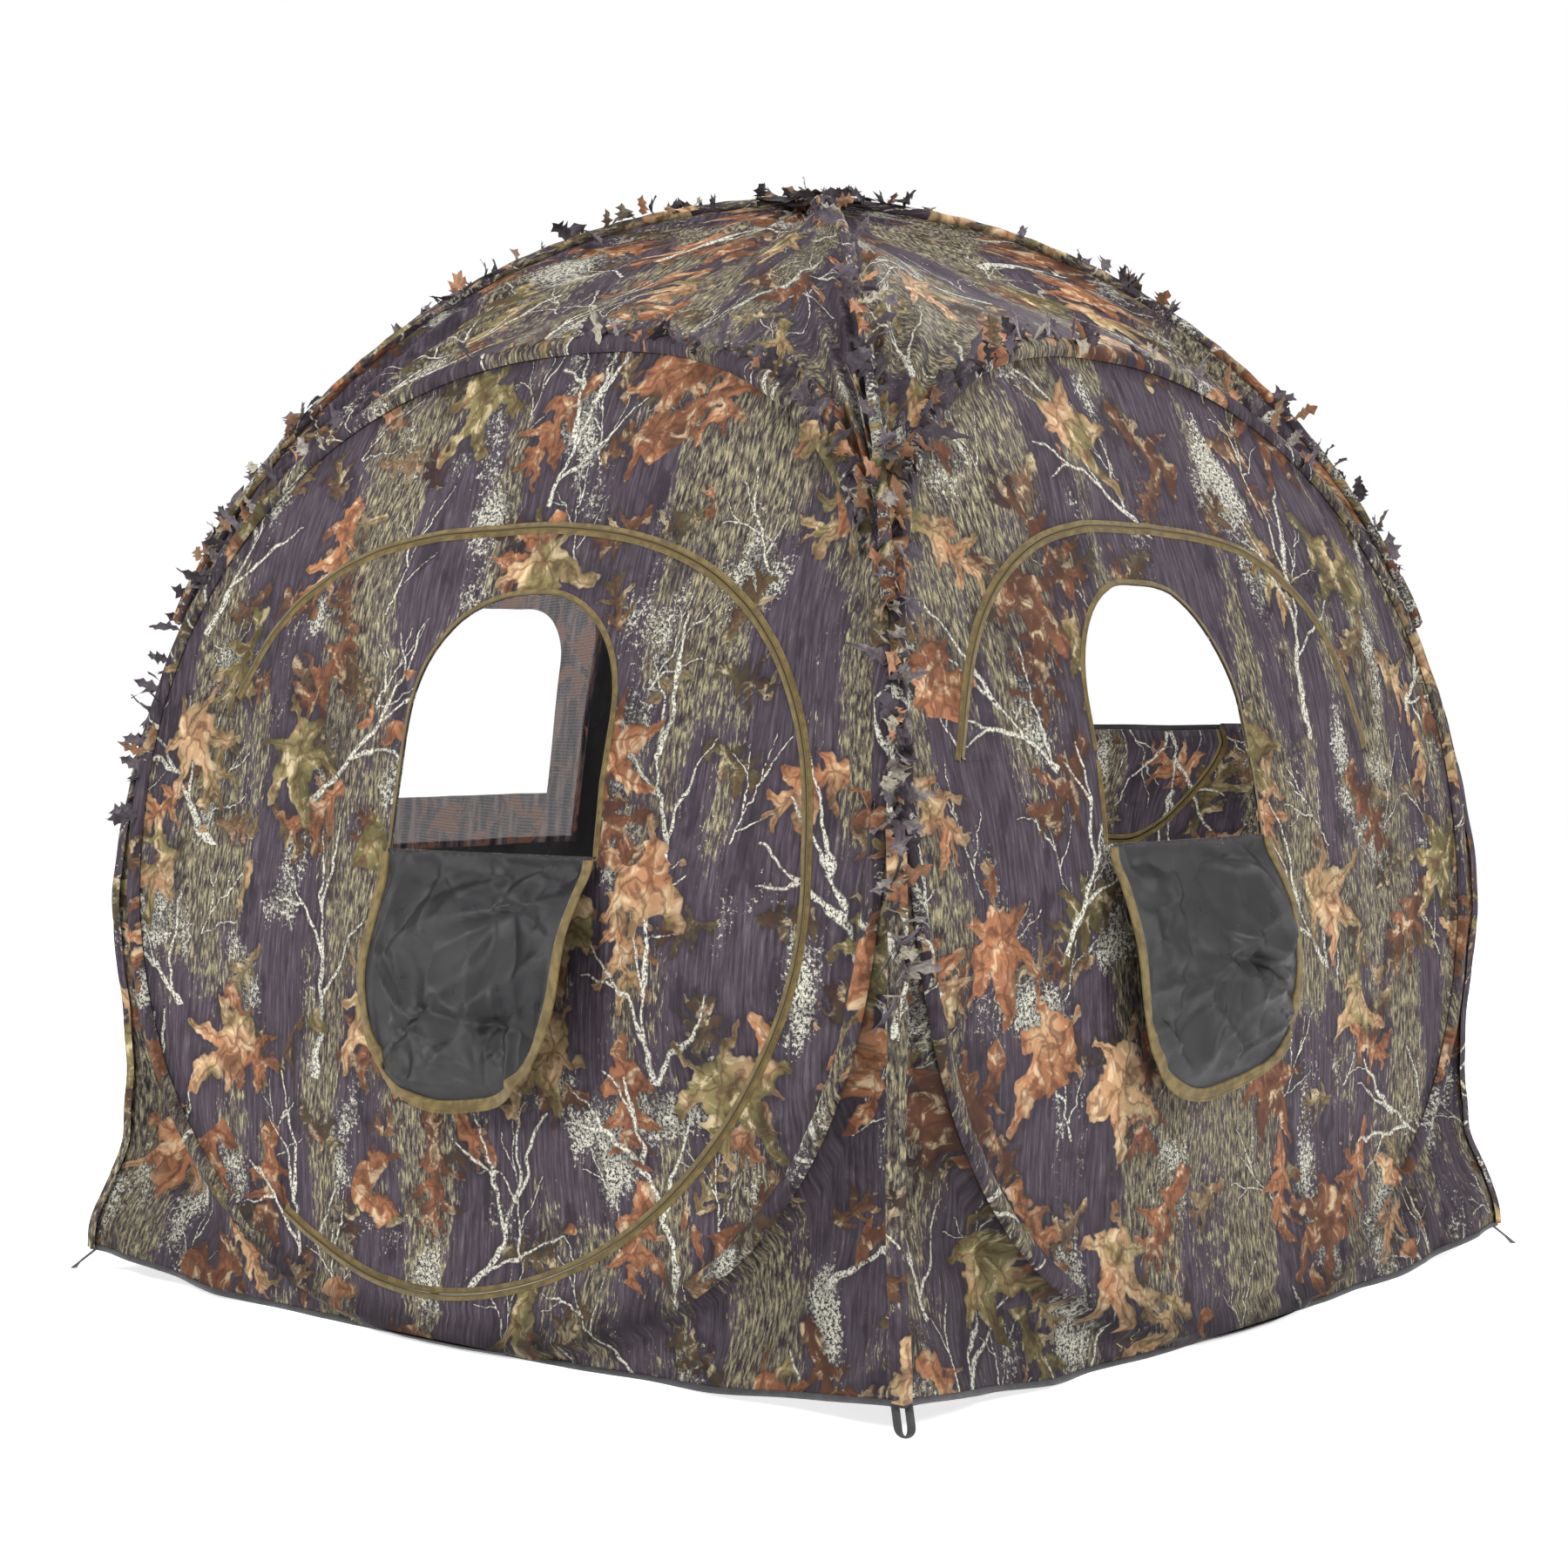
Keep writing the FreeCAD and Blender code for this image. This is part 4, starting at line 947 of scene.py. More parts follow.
def build_panel(letter, turn, folded):
    """A shooting panel, with its window left out, cut down to its fold; folded, it is swung down about
    that fold.
    """
    fold = REAR_FOLD_Z if folded else FOLD_Z
    outer = panel_loop(-ZIP_EDGE, fold)
    window = arch_path(*SIDE_WINDOW)
    window = window[window[:, 1] > fold + FOLD_ROOM]
    in_edge = outer[outer[:, 1] > fold + 0.001]
    right = level_line(in_edge[-1, 0], window[-1, 0], fold, 26)
    left = level_line(window[0, 0], in_edge[0, 0], fold, 26)
    outer = np.vstack([in_edge, right, window[::-1], left])
    obj = hung_panel("panel_cloth_" + letter, turn, outer, letter, folded)
    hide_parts("arc_panel_" + letter)
    hinge = on_wall(turn, -0.1, fold)
    end = on_wall(turn, -0.1, fold + 0.02)
    if folded:
        end = fold_down(end)
    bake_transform(obj)


build_door()
build_panel("b", 1, False)
build_panel("c", 2, True)

# ---- roof --------------------------------------------------------------------------------

def rod_arc(top):
    """The radius of a roof rod, and the height of its centre."""
    rise = top - ROD_END_Z
    radius = (ROD_SPREAD ** 2 + rise ** 2) / (2 * rise)
    return radius, top - radius


ROOF_INSET, RIDGE_GAP = 0.0052, 0.0040


def roof_point(turn, s, t, n=0.0):
    """A roof panel's surface: s runs from ridge to ridge, t from the hoop to the peak."""
    s, t = np.asarray(s, float), np.asarray(t, float)
    line = beside(upper_hoop(2000, 401), 0.004)
    share = np.linspace(-1, 1, len(line))
    u, z = np.interp(s, share, line[:, 0]), np.interp(s, share, line[:, 1])
    foot = np.stack([u, -half_width(z), z], -1)
    corner_u, corner_z = line[-1]
    corner_y = -float(half_width(corner_z))
    tops = ROD_TOPS if turn % 2 else ROD_TOPS[::-1]
    radius, centre = rod_arc(np.where(s > 0, tops[1], tops[0]))
    radius = radius - ROOF_INSET
    low = np.arcsin((corner_z - centre) / radius)
    angle = low + (math.pi / 2 - low) * t
    out = radius * np.cos(angle) / math.sqrt(2)
    side = np.sign(s)
    ridge = np.stack([side * (out - RIDGE_GAP), -out, centre + radius * np.sin(angle)], -1)
    peak = np.array([0, 0, sum(ROD_TOPS) / 2 - ROOF_INSET])
    tt, ss = t[..., None], (s * s)[..., None]
    corner = np.stack([side * corner_u, np.full(s.shape, corner_y), np.full(s.shape, corner_z)], -1)
    flat = foot * (1 - tt) + peak * tt + (ridge - corner * (1 - tt) - peak * tt) * ss
    up = np.stack([0 * s, -0.62 + 0.25 * t, 0.78 + 0.1 * t], -1)
    up = up / np.linalg.norm(up, axis=-1, keepdims=True)
    flat = flat + up * np.asarray(n, float)[..., None]
    return turned(flat, turn)


def roof_folds(turn, s, t):
    """Slack gathers towards the corners, where the panel is caught in the rod pocket."""
    across = 1 - np.abs(s)
    reach = np.hypot(across * 0.9, t * 0.95)
    angle = np.arctan2(t * 0.95, across * 0.9)
    held = smooth(across, 0.0, 0.10) * smooth(t, 0.0, 0.05)
    seed = 60 + 5 * turn + np.where(s > 0, 1, 0)
    fan = np.sin(angle * 15 + 1.3 * seed + 1.5 * np.sin(reach * 9)) * np.exp(-(reach / 0.42) ** 2)
    n = fan * 0.017 * smooth(reach, 0.02, 0.16)
    n = n - 0.020 * np.exp(-((reach - 0.18) / 0.2) ** 2)
    n = n + waves(s * 0.7, t * 0.7, 0.22, 61 + turn) * 0.007
    n = n + waves(s * 0.7, t * 0.7, 0.075, 62 + turn) * 0.0016
    n = n + np.sin(s * 60 + 3 * np.sin(s * 7)) * 0.0022 * np.exp(-t / 0.06)
    return n * held


def build_roof():
    """The four roof panels."""
    columns, rows = 121, 64
    s = np.linspace(-1, 1, columns)
    t = np.linspace(0, 1, rows) * 0.965
    ss, tt = np.meshgrid(s, t)
    for turn, letter in enumerate(WALLS):
        place = roof_point(turn, ss, tt, roof_folds(turn, ss, tt))
        bare = roof_point(0, ss, tt)
        steps = np.hypot(np.diff(bare[..., 1], axis=0), np.diff(bare[..., 2], axis=0))
        climb = np.concatenate([np.zeros((1, columns)), np.cumsum(steps, axis=0)])
        uv = np.stack([bare[..., 0] + PRINT_SHIFT * turn, climb + 1.4], -1)
        faces = [f[::-1] for f in grid_faces(rows, columns)]
        obj = mesh_object("roof_cloth_" + letter, place.reshape(-1, 3), faces,
                          {"cloth": uv.reshape(-1, 2)})
        thin(paint(obj, CAMO_ROOF, LINING))
        done(obj, "shell", "roof_panel_" + letter)


build_roof()


def tube_along(name, line, radius, sides, squash=1.0):
    """A tube round a 3-D line, with its length in the run map."""
    d = np.gradient(line, axis=0)
    d /= np.linalg.norm(d, axis=1, keepdims=True)
    side = np.cross(d, np.array([0, 0, 1.0]))
    side /= np.linalg.norm(side, axis=1, keepdims=True)
    top = np.cross(side, d)
    radius = np.broadcast_to(radius, len(line))
    a = np.linspace(0, 2 * math.pi, sides + 1)
    wide, high = np.cos(a)[None, :, None], (np.sin(a) * squash)[None, :, None]
    ring = side[:, None] * wide + top[:, None] * high
    place = line[:, None] + ring * radius[:, None, None]
    length = lengths(line)
    around = a[None] * radius[:, None]
    run = np.stack([around, np.broadcast_to(length[:, None], around.shape)], -1).reshape(-1, 2)
    return mesh_object(name, place.reshape(-1, 3), grid_faces(len(line), sides + 1),
                       {"cloth": run, "run": run})


def rod_line(rod, start, stop, count, inset=0.0):
    """Points along a roof rod; 0 is one end and 1 the other."""
    radius, centre = rod_arc(ROD_TOPS[rod])
    low = math.atan2(ROD_END_Z - centre, ROD_SPREAD)
    a = low + (math.pi - 2 * low) * np.linspace(start, stop, count)
    out, height = (radius - inset) * np.cos(a), centre + (radius - inset) * np.sin(a)
    heading = math.radians((-45, 45)[rod])
    return np.stack([out * math.cos(heading), out * math.sin(heading), height], -1)


def joined(name, parts):
    """Several meshes as one piece."""
    bpy.ops.object.select_all(action="DESELECT")
    for part in parts:
        part.select_set(True)
    bpy.context.view_layer.objects.active = parts[0]
    bpy.ops.object.join()
    parts[0].name = name
    return parts[0]


def build_ridges():
    """Sleeves over the two rods, and the pockets at their ends."""
    sleeves, pockets = [], []
    for rod in (0, 1):
        for start, stop in ((0.028, 0.466), (0.972, 0.534)):
            line = rod_line(rod, start, stop, 90)
            pucker = 0.0080 + 0.0007 * np.sin(np.linspace(0, 120, 90))
            sleeves.append(paint(tube_along("ridge", line, pucker, 12), CAMO_ROOF))
        for start, stop in ((-0.007, 0.028), (1.007, 0.972)):
            line = rod_line(rod, start, stop, 16)
            swell = 0.0094 + 0.0012 * np.sin(np.linspace(0, math.pi, 16))
            swell[0] = 0.003
            pockets.append(paint(tube_along("pocket", line, swell, 14), CAMO_ROOF))
    done(joined("ridge_sleeve_cloth", sleeves), "shell", "ridge_sleeves")
    done(joined("rod_pocket_cloth", pockets), "shell", "rod_pockets")


build_ridges()


def build_cap():
    """The patch over the crossing of the rods."""
    side, rows = 0.12, 15
    a = np.linspace(-1, 1, rows)
    x, y = np.meshgrid(a, a)
    r = np.maximum(np.abs(x), np.abs(y))
    low = 1 - np.minimum(np.abs(x), np.abs(y)) / np.maximum(r, 1e-6)
    z = 1.6445 - 0.003 * r ** 2 - 0.014 * low * r ** 2 + 0.001 * np.sin(x * 9) * np.sin(y * 8)
    place = np.stack([x * side / 2, y * side / 2, z], -1).reshape(-1, 3)
    obj = mesh_object("roof_cap_cloth", place, grid_faces(rows, rows),
                      {"cloth": np.stack([x, y], -1).reshape(-1, 2) * side / 2})
    thin(paint(obj, CAMO_ROOF, LINING))
    done(obj, "shell", "roof_cap")


build_cap()

# ---- hoop sleeves, hem, corners ----------------------------------------------------------
# Half of the sleeve's cross-section, from its stitched edge to its crown.
SLEEVE_SIDE = [(0.0135, 0.0004), (0.0120, 0.0034), (0.0085, 0.0064), (0.0045, 0.0084)]
SLEEVE = [(-u, n) for u, n in SLEEVE_SIDE] + [(0.0, 0.0090)] + SLEEVE_SIDE[::-1]


def slack(seed):
    """A sleeve's uneven height along its length."""
    def wobble(count):
        x = np.linspace(0, 1, count)
        return 0.0006 * (np.sin(x * 190 + seed) + np.sin(x * 320 + 2 * seed))
    return wobble


def build_sleeves():
    """The sleeve that holds each steel hoop."""
    for turn, letter in enumerate(WALLS):
        path = hoop_path(420)
        obj = run_on_wall("hoop_sleeve_cloth_" + letter, turn, path, SLEEVE, closed=True,
                          wobble=slack(turn), surface=on_wall)
        # The sleeve's copy of the print is darkened to 0.86 as painted shade; it is the same cloth as
        # the walls.
        paint(obj, camo("camo_sleeve_" + letter, (0.31 + turn, 0.55), 0.86))
        done(obj, "shell", "hoop_sleeve_" + letter)


build_sleeves()


def build_hems():
    """Black binding along the bottom of each wall."""
    pieces = []
    for turn in range(4):
        u = np.linspace(-BASE_HALF, BASE_HALF, 130)
        path = np.stack([u, np.full(130, 0.009)], 1)
        profile = [(-0.0088, -0.0012), (-0.0088, 0.0012), (-0.005, 0.0022), (-0.0012, 0.0014),
                   (-0.0010, 0.0002)]
        piece = run_on_wall("hem", turn, path, profile)
        pieces.append(paint(piece, BLACK))
    done(joined("hem_binding_tape", pieces), "shell", "hem_bindings")


build_hems()


def corner_ways(heading):
    """Unit vectors away from the middle and along the outside, at a corner."""
    a = math.radians(heading)
    return (np.array([math.cos(a), math.sin(a), 0.0]),
            np.array([-math.sin(a), math.cos(a), 0.0]))


def corner_line(heading, heights, out):
    """Points up a corner seam."""
    lift = CORNER_RAISED * smooth(0.30 - heights, 0.0, 0.30)
    d = math.sqrt(2) * (half_width(heights) - tuck(heights)) + out
    a = math.radians(heading)
    return np.stack([d * math.cos(a), d * math.sin(a), heights + lift], -1)


def build_corners():
    """The ribbon over each corner seam."""
    pieces = []
    for heading in CORNER_HEADINGS:
        heights = np.linspace(0.004, 0.985, 90)
        line = corner_line(heading, heights, 0.0015)
        away, side = corner_ways(heading)
        across = np.array([-0.0125, -0.008, -0.003, 0.0, 0.003, 0.008, 0.0125])
        rise = np.array([-0.0120, -0.0072, -0.0016, 0.0006, -0.0016, -0.0072, -0.0120])
        wave = 0.0008 * np.sin(heights * 60 + heading)
        place = line[:, None] + side * across[None, :, None] \
            + away * (rise[None, :, None] + 0.0026 + wave[:, None, None])
        uv = np.stack(np.broadcast_arrays(across[None] + heading * 0.02, heights[:, None]), -1)
        piece = mesh_object("corner", place.reshape(-1, 3), grid_faces(90, 7),
                            {"cloth": uv.reshape(-1, 2), "run": uv.reshape(-1, 2)})
        pieces.append(paint(piece, CAMO_DOOR))
    done(joined("corner_ribbon", pieces), "shell", "corner_bindings")


build_corners()


def build_loops():
    """Webbing loops that slope from each lifted corner down to the ground."""
    pieces = []
    for heading in CORNER_HEADINGS:
        away, side = corner_ways(heading)
        start = math.sqrt(2) * BASE_HALF
        turn = np.linspace(-math.pi / 2, math.pi / 2, 13)
        reach = np.concatenate([[-0.012], 0.014 + 0.010 * np.cos(turn), [-0.012]])
        wide = np.concatenate([[-0.008], 0.008 * np.sin(turn), [0.008]])
        height = 0.003 + 0.034 * smooth(0.034 - reach, 0.0, 0.046)
        up = np.array([0, 0, 1]) * height[:, None]
        line = away * (start + reach[:, None]) + side * wide[:, None] + up
        piece = tube_along("loop", line, 0.0052, 8, 0.28)
        pieces.append(paint(piece, BLACK))
    done(joined("ground_loop_webbing", pieces), "shell", "ground_loops")


build_loops()

# ---- zips --------------------------------------------------------------------------------

def half_tape(sign):
    """Half of a zip's tape in section, outwards from its coil."""
    return [(sign * 0.0009, 0.0022), (sign * 0.0028, 0.0021), (sign * 0.0032, 0.0012),
            (sign * 0.0078, 0.0011), (sign * 0.0084, 0.0002)]


def build_zip(name, turn, path, body, sign, node, fold=False, surface=drape):
    """One half of a zip: tape, and half of the coil along its inner edge."""
    band = half_tape(sign)[1:]
    ridge = [(sign * 0.0002, 0.0006), (sign * 0.0003, 0.0020), (sign * 0.0012, 0.0028),
             (sign * 0.0024, 0.0024), (sign * 0.0030, 0.0012)]
    tape, coil = (run_on_wall(name + part, turn, path, profile[::sign], surface=surface)
                  for part, profile in (("_tape", band), ("_coil", ridge)))
    paint(tape, TAPE)
    paint(coil, COIL)
    obj = joined(name, [tape, coil])
    if fold:
        co = fold_down(np.array([v.co for v in obj.data.vertices]))
        obj.data.vertices.foreach_set("co", co.ravel())
    return done(obj, body, node)


DOOR_PATH = spline_path(DOOR_ZIP, ZIP_STEP)
PANEL_PATH = spline_path(PANEL_ZIP, ZIP_STEP)
build_zip("door_zip_outer", 0, DOOR_PATH, "shell", 1, "door_zip_wall_half")
build_zip("door_zip_inner", 0, DOOR_PATH, "door", -1, "door_zip_door_half")


for letter, turn, fold in (("b", 1, FOLD_Z), ("c", 2, REAR_FOLD_Z)):
    above = PANEL_PATH[PANEL_PATH[:, 1] > fold + FOLD_ROOM]
    build_zip("arc_zip_outer_" + letter, turn, PANEL_PATH, "shell", 1, "arc_zip_wall_half_" + letter)
    build_zip("arc_zip_inner_" + letter, turn, above, "panel_" + letter, -1,
              "arc_zip_panel_half_" + letter, fold=letter == "c",
              surface=sagging if letter == "c" else drape)

feet = []
for turn, letter in enumerate(WALLS):
    path = arch_path(*WINDOWS[letter], step=ZIP_STEP)
    if letter in "bc":
        fold = REAR_FOLD_Z if letter == "c" else FOLD_Z
        high = path[path[:, 1] > fold + FOLD_ROOM]
        build_zip("window_zip_tape_" + letter, turn, high, "panel_" + letter, 1,
                  "window_zip_" + letter, fold=letter == "c",
                  surface=sagging if letter == "c" else drape)
        low = path[path[:, 1] < fold - 0.002]
        for part in (low[low[:, 0] < SIDE_WINDOW[0]], low[low[:, 0] > SIDE_WINDOW[0]]):
            foot = run_on_wall("foot", turn, part, half_tape(1))
            feet.append(paint(foot, TAPE))
    else:
        build_zip("window_zip_tape_" + letter, turn, path, "door" if letter == "a" else "shell", 1,
                  "window_zip_" + letter)
done(joined("window_zip_foot_tape", feet), "shell", "window_zip_feet")

# ---- window flaps ------------------------------------------------------------------------

def creases(x, y, seed, count, size):
    """Sharp fold lines crossing a sheet at random, as a height below it."""
    rng = np.random.default_rng(seed)
    total = np.zeros(np.shape(x))
    for _ in range(count):
        cx, cy, angle = rng.uniform(-0.22, 0.22), rng.uniform(-0.02, 0.36), rng.uniform(0, math.pi)
        reach, width = rng.uniform(0.05, 0.17), rng.uniform(0.010, 0.034)
        along = (x - cx) * math.cos(angle) + (y - cy) * math.sin(angle)
        across = (y - cy) * math.cos(angle) - (x - cx) * math.sin(angle) + 0.4 * along ** 2
        side = np.where(across > 0, 1.0, 2.2)
        ridge = np.exp(-np.abs(across) * side / width) * np.exp(-(along / reach) ** 2)
        total = total + ridge * rng.uniform(-0.6, 1.0)
    return total * size


def flap_rise(turn, a, b):
    """How far a hanging flap stands off the wall; a runs across it and b down it."""
    seed = 90 + 3 * turn
    fall = smooth(b, 0.0, 0.16)
    x, y = a * 0.385, b * 0.34
    n = 0.010 + 0.030 * np.sin(np.clip(b, 0, 1) * math.pi * 0.74) * fall
    n = n + 0.024 * smooth(a, 0.1, 0.5) * smooth(b, 0.02, 0.35)
    n = n + 0.009 * np.sin(a * 8.5 + 2.2 * b + seed) * fall
    n = n + 0.006 * waves(x, y, 0.10, seed) * fall
    rim = smooth(b, 0.0, 0.08) * smooth(0.5 - np.abs(a), 0.0, 0.13) * smooth(1 - b, 0.0, 0.16)
    n = n - creases(x, y, seed, 30, 0.0270) * rim
    n = n + creases(x, y, seed + 1, 34, 0.0190) * rim
    return np.maximum(n, 0.0045)


FLAP_NARROW = 0.008


def flap_point(letter, turn, a, b, n=0.0):
    """A place on the flap of a window: a from -0.5 to 0.5, b from 0 at the sill to 1."""
    centre, width, sill, _, _ = WINDOWS[letter]
    tall = FLAP_TALL[letter]
    u = centre + a * (width - FLAP_NARROW) * (1 + 0.01 * np.sin(b * 2.6))
    z = sill - 0.001 - b * tall * 0.985 + 0.010 * np.sin(a * 5) * b
    return drape(turn, u, z, flap_rise(turn, a, b) + n)


def build_flap(letter, turn):
    """A hanging window flap, lining outwards, with the zip round its edge."""
    centre, width, sill, _, corner = WINDOWS[letter]
    tall = FLAP_TALL[letter]
    across = width - FLAP_NARROW
    loop = shut(arch_path(0.0, across, 0.0, tall, corner, hang=True, step=0.007), 48)
    flat, faces = flat_cut(loop, [], 0.0055)
    a, b = flat[:, 0] / across, -flat[:, 1] / tall
    place = flap_point(letter, turn, a, b)
    obj = mesh_object("flap_cloth_" + letter, place, outward(place, faces, turn),
                      {"cloth": flat + np.array([turn, 0.0])})
    thin(paint(obj, LINING, CAMO[letter]))
    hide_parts("window_flap_" + letter)
    start, end = on_wall(turn, centre, sill), on_wall(turn, centre, sill - 0.02)
    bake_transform(obj)

    def hanging(turn, u, z, n=0.0):
        return flap_point(letter, turn, u / across, -z / tall, n)

    edge = arch_path(0.0, across, -0.004, tall - 0.004, corner, hang=True, step=0.005)
    band = [(-0.0148, 0.0004), (-0.0142, 0.0024), (-0.0116, 0.0026), (-0.0104, 0.0019),
            (-0.0090, 0.0026), (-0.0034, 0.0028), (-0.0022, 0.0022), (-0.0010, 0.0030),
            (0.0020, 0.0024), (0.0030, 0.0002)]
    tape = run_on_wall("flap_zip_tape_" + letter, turn, edge, band, surface=hanging)
    paint(tape, TAPE)
    done(tape, "flap_" + letter, "flap_zip_" + letter)


def build_shut_flap():
    """The rear window's flap: zipped shut, so it hangs folded down with its panel."""
    path = arch_path(*SIDE_WINDOW, grow=-0.001)
    path = path[path[:, 1] > REAR_FOLD_Z + 0.005]
    loop = shut(path, 30)
    obj = hung_panel("flap_cloth_c", 2, loop, "c", True)
    done(obj, "panel_c", "window_flap_c")
    build_zip("flap_zip_tape_c", 2, path, "panel_c", -1, "flap_zip_c", fold=True, surface=sagging)


for turn, letter in enumerate(WALLS):
    if letter != "c":
        build_flap(letter, turn)
build_shut_flap()


def build_border():
    """Netting sewn round the inside of the big window."""
    centre, width, sill, tall, corner = BACK_WINDOW
    rim = shut(arch_path(centre, width + 0.02, sill - 0.01, tall + 0.02, corner), 50)
    hole = shut(arch_path(centre, width - 2 * MESH_MARGIN, sill + MESH_MARGIN,
                          tall - 2 * MESH_MARGIN, 0.09), 40)
    flat, faces = flat_cut(rim, [hole], GRID)
    place = drape(3, flat[:, 0], flat[:, 1], -0.003)
    obj = mesh_object("mesh_border_net", place, outward(place, faces, 3), {"cloth": flat})
    paint(obj, NET)
    done(obj, "shell", "mesh_border_d")


build_border()

# ---- cut-leaf trim -----------------------------------------------------------------------

LEAF_LENGTH, LEAF_HALF = (0.024, 0.050), 0.0115


def leaf_cards(name, roots, rng):
    """Ragged cut leaves; each root is (place, away, along): where it is sewn, where it points."""
    points, faces, uvs, tints = [], [], [], []
    tones = [0.05, 0.2, 0.34, 0.46, 0.62, 0.8, 0.95]
    odds = [0.24, 0.24, 0.16, 0.10, 0.08, 0.10, 0.08]
    for place, away, along in roots:
        size = rng.uniform(*LEAF_LENGTH)
        half = LEAF_HALF * rng.uniform(0.7, 1.3)
        lean = along * rng.normal(0, 0.5) + away + rng.normal(0, 0.12, 3)
        lean = lean / np.linalg.norm(lean)
        wide = np.cross(lean, rng.normal(0, 1, 3))
        wide = wide / np.linalg.norm(wide)
        normal = np.cross(wide, lean)
        curl, steps, start = rng.normal(0, 0.45), 11, len(points)
        tint = float(np.clip(rng.choice(tones, p=odds) + rng.normal(0, 0.03), 0, 1))
        for i in range(steps):
            t = i / (steps - 1)
            outline = math.sin(math.pi * min(1.0, 0.10 + 0.90 * t)) ** 0.6
            lobe = rng.uniform(0.85, 1.35) if i % 3 == 1 else rng.uniform(0.35, 0.75)
            left = outline * half * (lobe if 0 < i < steps - 1 else 0.12)
            other = rng.uniform(0.85, 1.3) if i % 3 == 2 else rng.uniform(0.4, 0.8)
            right = outline * half * other
            sweep = lean * size * 0.07 * lobe
            centre = place + lean * size * t + normal * (curl * size * t * t + 0.002)
            twist = normal * math.sin(t * 4 + curl * 5) * 0.45
            points.append(centre - wide * left + twist * left + sweep)
            points.append(centre + normal * 0.0015)
            points.append(centre + wide * right - twist * right)
            uvs += [(tint - left, t * size), (tint, t * size), (tint + right, t * size)]
            tints += [tint] * 3
            if i:
                b = start + 3 * i
                faces += [(b - 3, b - 2, b + 1, b), (b - 2, b - 1, b + 2, b + 1)]
    obj = mesh_object(name, np.array(points), faces, {"cloth": uvs}, smooth_shade=False)
    layer = obj.data.attributes.new("tint", "FLOAT", "POINT")
    layer.data.foreach_set("value", np.array(tints, np.float32))
    paint(obj, TRIM)
    return obj


def crowding(letter, u, z):
    """How thickly the cut leaves are sewn along each hoop."""
    high, near = z > 1.0, {"a": u > 0, "b": u < 0}.get(letter, False)
    if near:
        return 0.95 if high else 0.22
    if letter == "a":
        return 0.70 if u < -0.42 else 0.16
    if letter == "b":
        return 0.50 if z > 1.13 and u < 0.52 else 0.0
    if letter == "c" and u < -0.35:
        return 0.4 if z > 1.13 else 0.0
    return 0.45 if z > 0.80 else 0.1


def build_trim():
    """Cut leaves along the hoops, the rods and the front corner."""
    rng = np.random.default_rng(8)
    roots = []
    whole = hoop_path(1400)
    d = headings(whole, True)
    sides = np.stack([-d[:, 1], d[:, 0]], 1)
    for turn, letter in enumerate(WALLS):
        for (u, z), (su, sz) in list(zip(whole, sides))[::5]:
            if z < 0.66 or rng.random() > crowding(letter, u, z):
                continue
            shift = rng.normal(0, 0.006)
            spot = on_wall(turn, u + su * shift, z + sz * shift, 0.0062)
            away = on_wall(turn, u + su * 0.05, z + sz * 0.05, 0.020) - spot
            along = np.cross(away, np.array([0, 0, 1.0]))
            roots.append((spot, away / np.linalg.norm(away), along / np.linalg.norm(along)))
    for rod in (0, 1):
        line = rod_line(rod, 0.03, 0.97, 220, inset=-0.008)
        ahead = np.gradient(line, axis=0)
        for i, spot in enumerate(line):
            share = abs(i / 219 - 0.5) * 2
            bunch = math.sin(i * 0.19 + 2 * rod) > 0.55
            front = rod == 0 and i > 110
            chance = 0.8 if share < 0.05 else 0.05 if front else 0.7 if bunch else 0.22
            if rng.random() > chance:
                continue
            along = ahead[i] / np.linalg.norm(ahead[i])
            side = np.cross(along, [0, 0, 1.0])
            away = np.array([0, 0, 0.3]) + side * rng.choice([-1, 1]) * rng.uniform(0.4, 1.2)
            roots.append((spot, away / np.linalg.norm(away), along))
    for i in range(60):
        heading, high = math.radians(-45), rng.uniform(0.50, 1.02)
        spot = corner_line(-45, np.array([high]), 0.006)[0]
        away = np.array([math.cos(heading), math.sin(heading), rng.normal(0, 0.5)])
        along = np.array([-math.sin(heading), math.cos(heading), rng.normal(-0.6, 0.6)])
        roots.append((spot, away / np.linalg.norm(away), along / np.linalg.norm(along) * 1.5))
    obj = leaf_cards("cut_leaf_trim", roots, rng)
    done(obj, "shell", "leaf_trims")


build_trim()

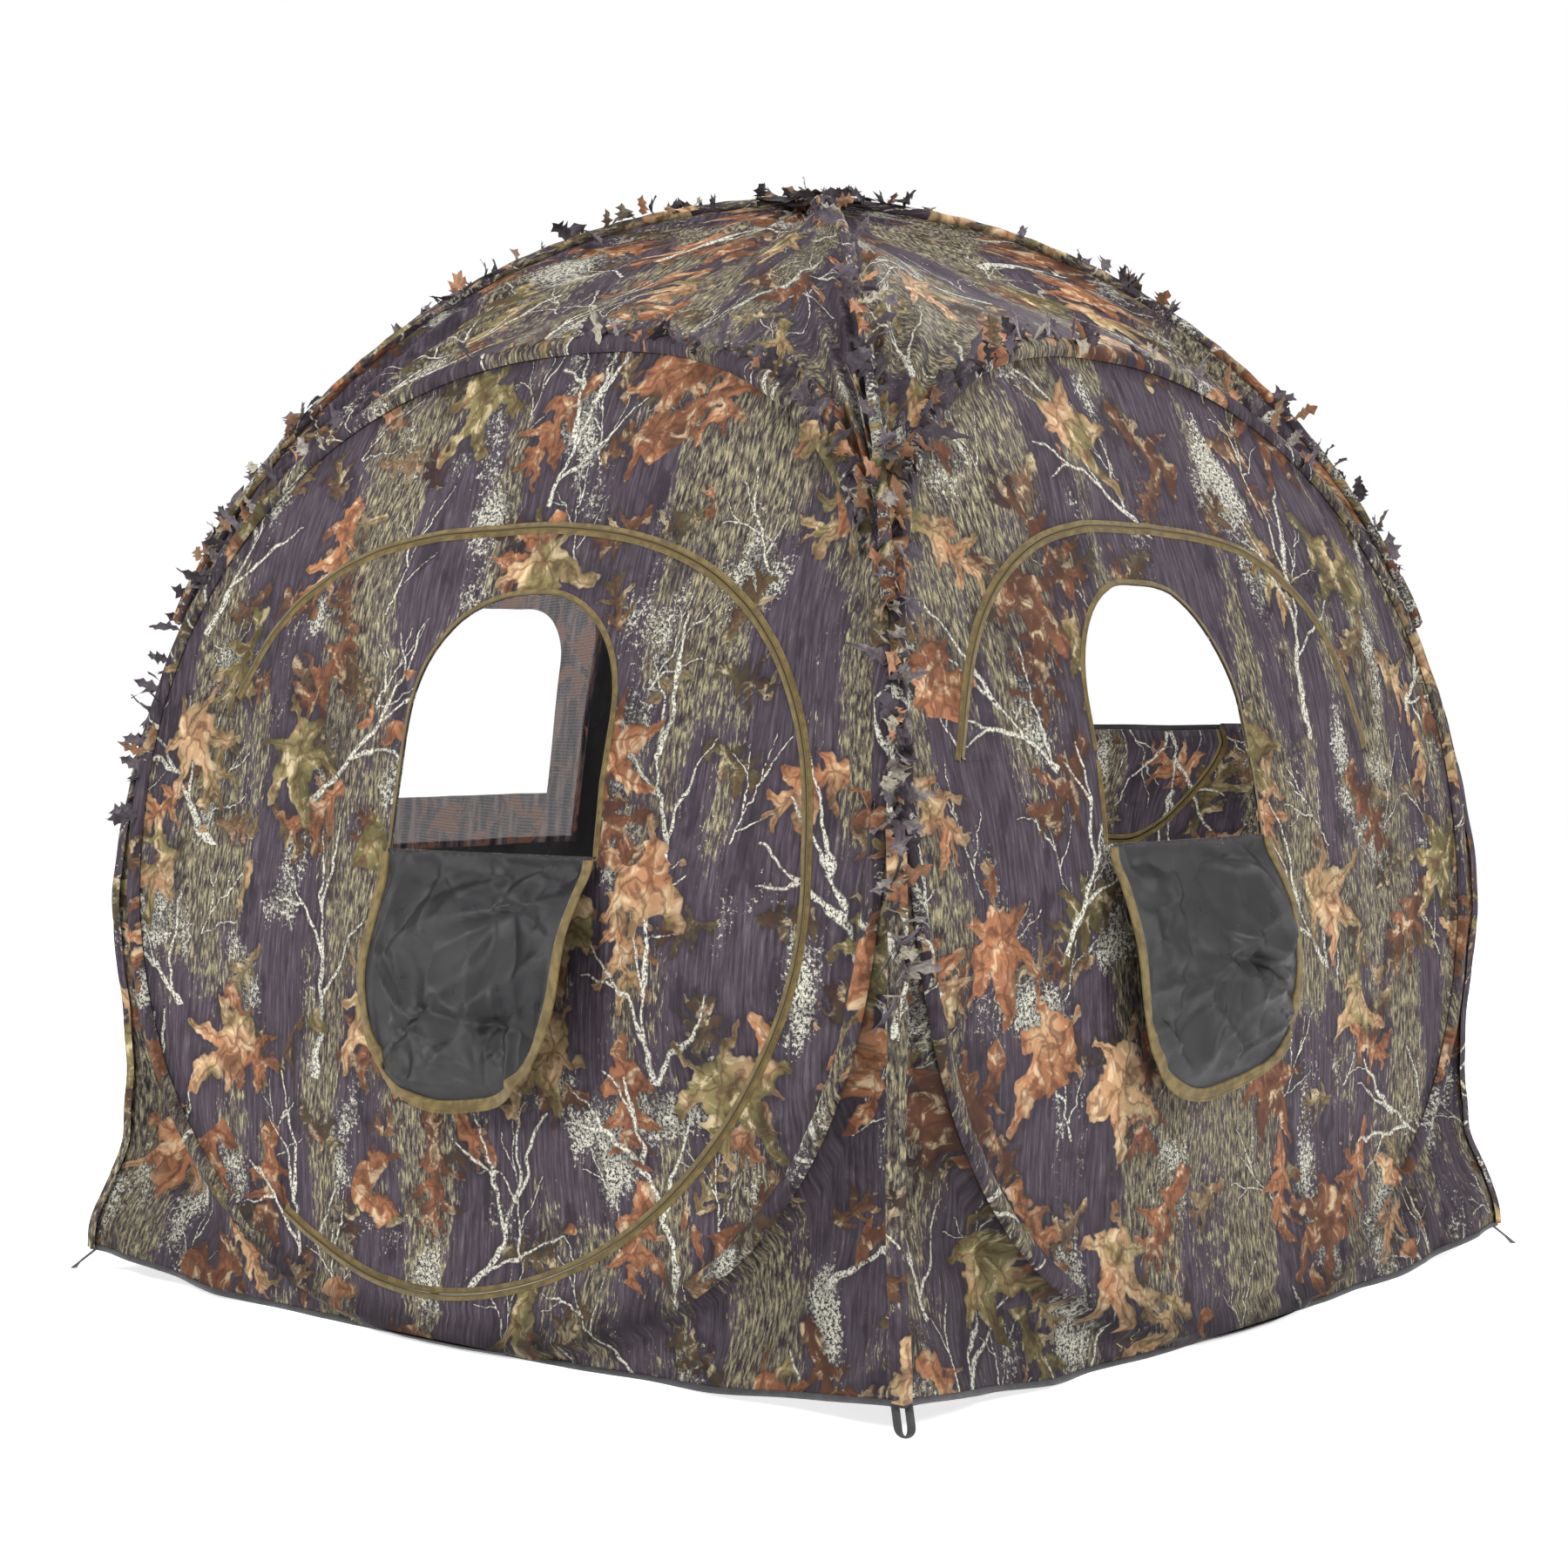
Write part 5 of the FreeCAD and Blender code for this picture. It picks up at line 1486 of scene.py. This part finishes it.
# ---- hard pieces -------------------------------------------------------------------------
for name, obj in NODES.items():
    if name.startswith("steel_hoop"):
        paint(obj, STEEL)
    elif name in ("roof_rods", "rod_tips"):
        paint(obj, FIBRE)
    elif name == "rod_ferrules":
        paint(obj, ALLOY)
    elif name == "rod_shock_cords":
        paint(obj, ELASTIC)
    elif "slider" in name:
        paint(obj, DARK_METAL)
    elif "pull" in name:
        paint(obj, CORD)

# ---- stage -------------------------------------------------------------------------------
FLOOR = 14
floor = mesh_object("floor", [(-FLOOR, -FLOOR, 0), (FLOOR, -FLOOR, 0), (FLOOR, FLOOR, 0),
                              (-FLOOR, FLOOR, 0)], [(0, 1, 2, 3)])
pale = Shader("pale_floor", Roughness=0.9, Specular_IOR_Level=0.1, Emission_Strength=0.62,
              Emission_Color=(1.0, 1.0, 1.0, 1.0))
ground = object_noise(pale, 0.6)
paint(floor, pale.finish(pale.mix(ground, (0.86, 0.86, 0.86, 1), (0.90, 0.90, 0.90, 1))))

world = bpy.data.worlds.new("studio")
world.use_nodes = True
sky = world.node_tree
seen = sky.nodes.new("ShaderNodeLightPath").outputs["Is Camera Ray"]
level_of_light = sky.nodes.new("ShaderNodeMapRange")
sky.links.new(seen, level_of_light.inputs["Value"])
level_of_light.inputs["To Min"].default_value = 0.44
level_of_light.inputs["To Max"].default_value = 1.0
sky.nodes["Background"].inputs[0].default_value = (1.0, 1.0, 1.0, 1)
sky.links.new(level_of_light.outputs["Result"], sky.nodes["Background"].inputs[1])
bpy.context.scene.world = world


def lamp(name, spot, target, size, power):
    """A square area light aimed at a place."""
    light = bpy.data.lights.new(name, "AREA")
    light.shape = "SQUARE"
    light.size = size
    light.energy = power
    obj = bpy.data.objects.new(name, light)
    bpy.context.scene.collection.objects.link(obj)
    obj.location = spot
    obj.rotation_euler = (Vector(target) - Vector(spot)).to_track_quat("-Z", "Y").to_euler()


lamp("key", (-1.4, -5.4, 4.4), (0, 0, 0.8), 1.6, 330)
lamp("side", (5.6, 0.9, 3.8), (0, 0, 0.8), 1.6, 200)
lamp("over", (1.5, -0.5, 5.5), (0, 0, 0.8), 2.2, 170)
lamp("rear", (-0.9, 5.4, 3.4), (0.3, 0.3, 0.8), 2.0, 260)
lamp("inside", (0.15, -0.1, 1.28), (-0.1, 0.7, 0.62), 0.5, 9)
bpy.context.scene.view_settings.view_transform = "Standard"
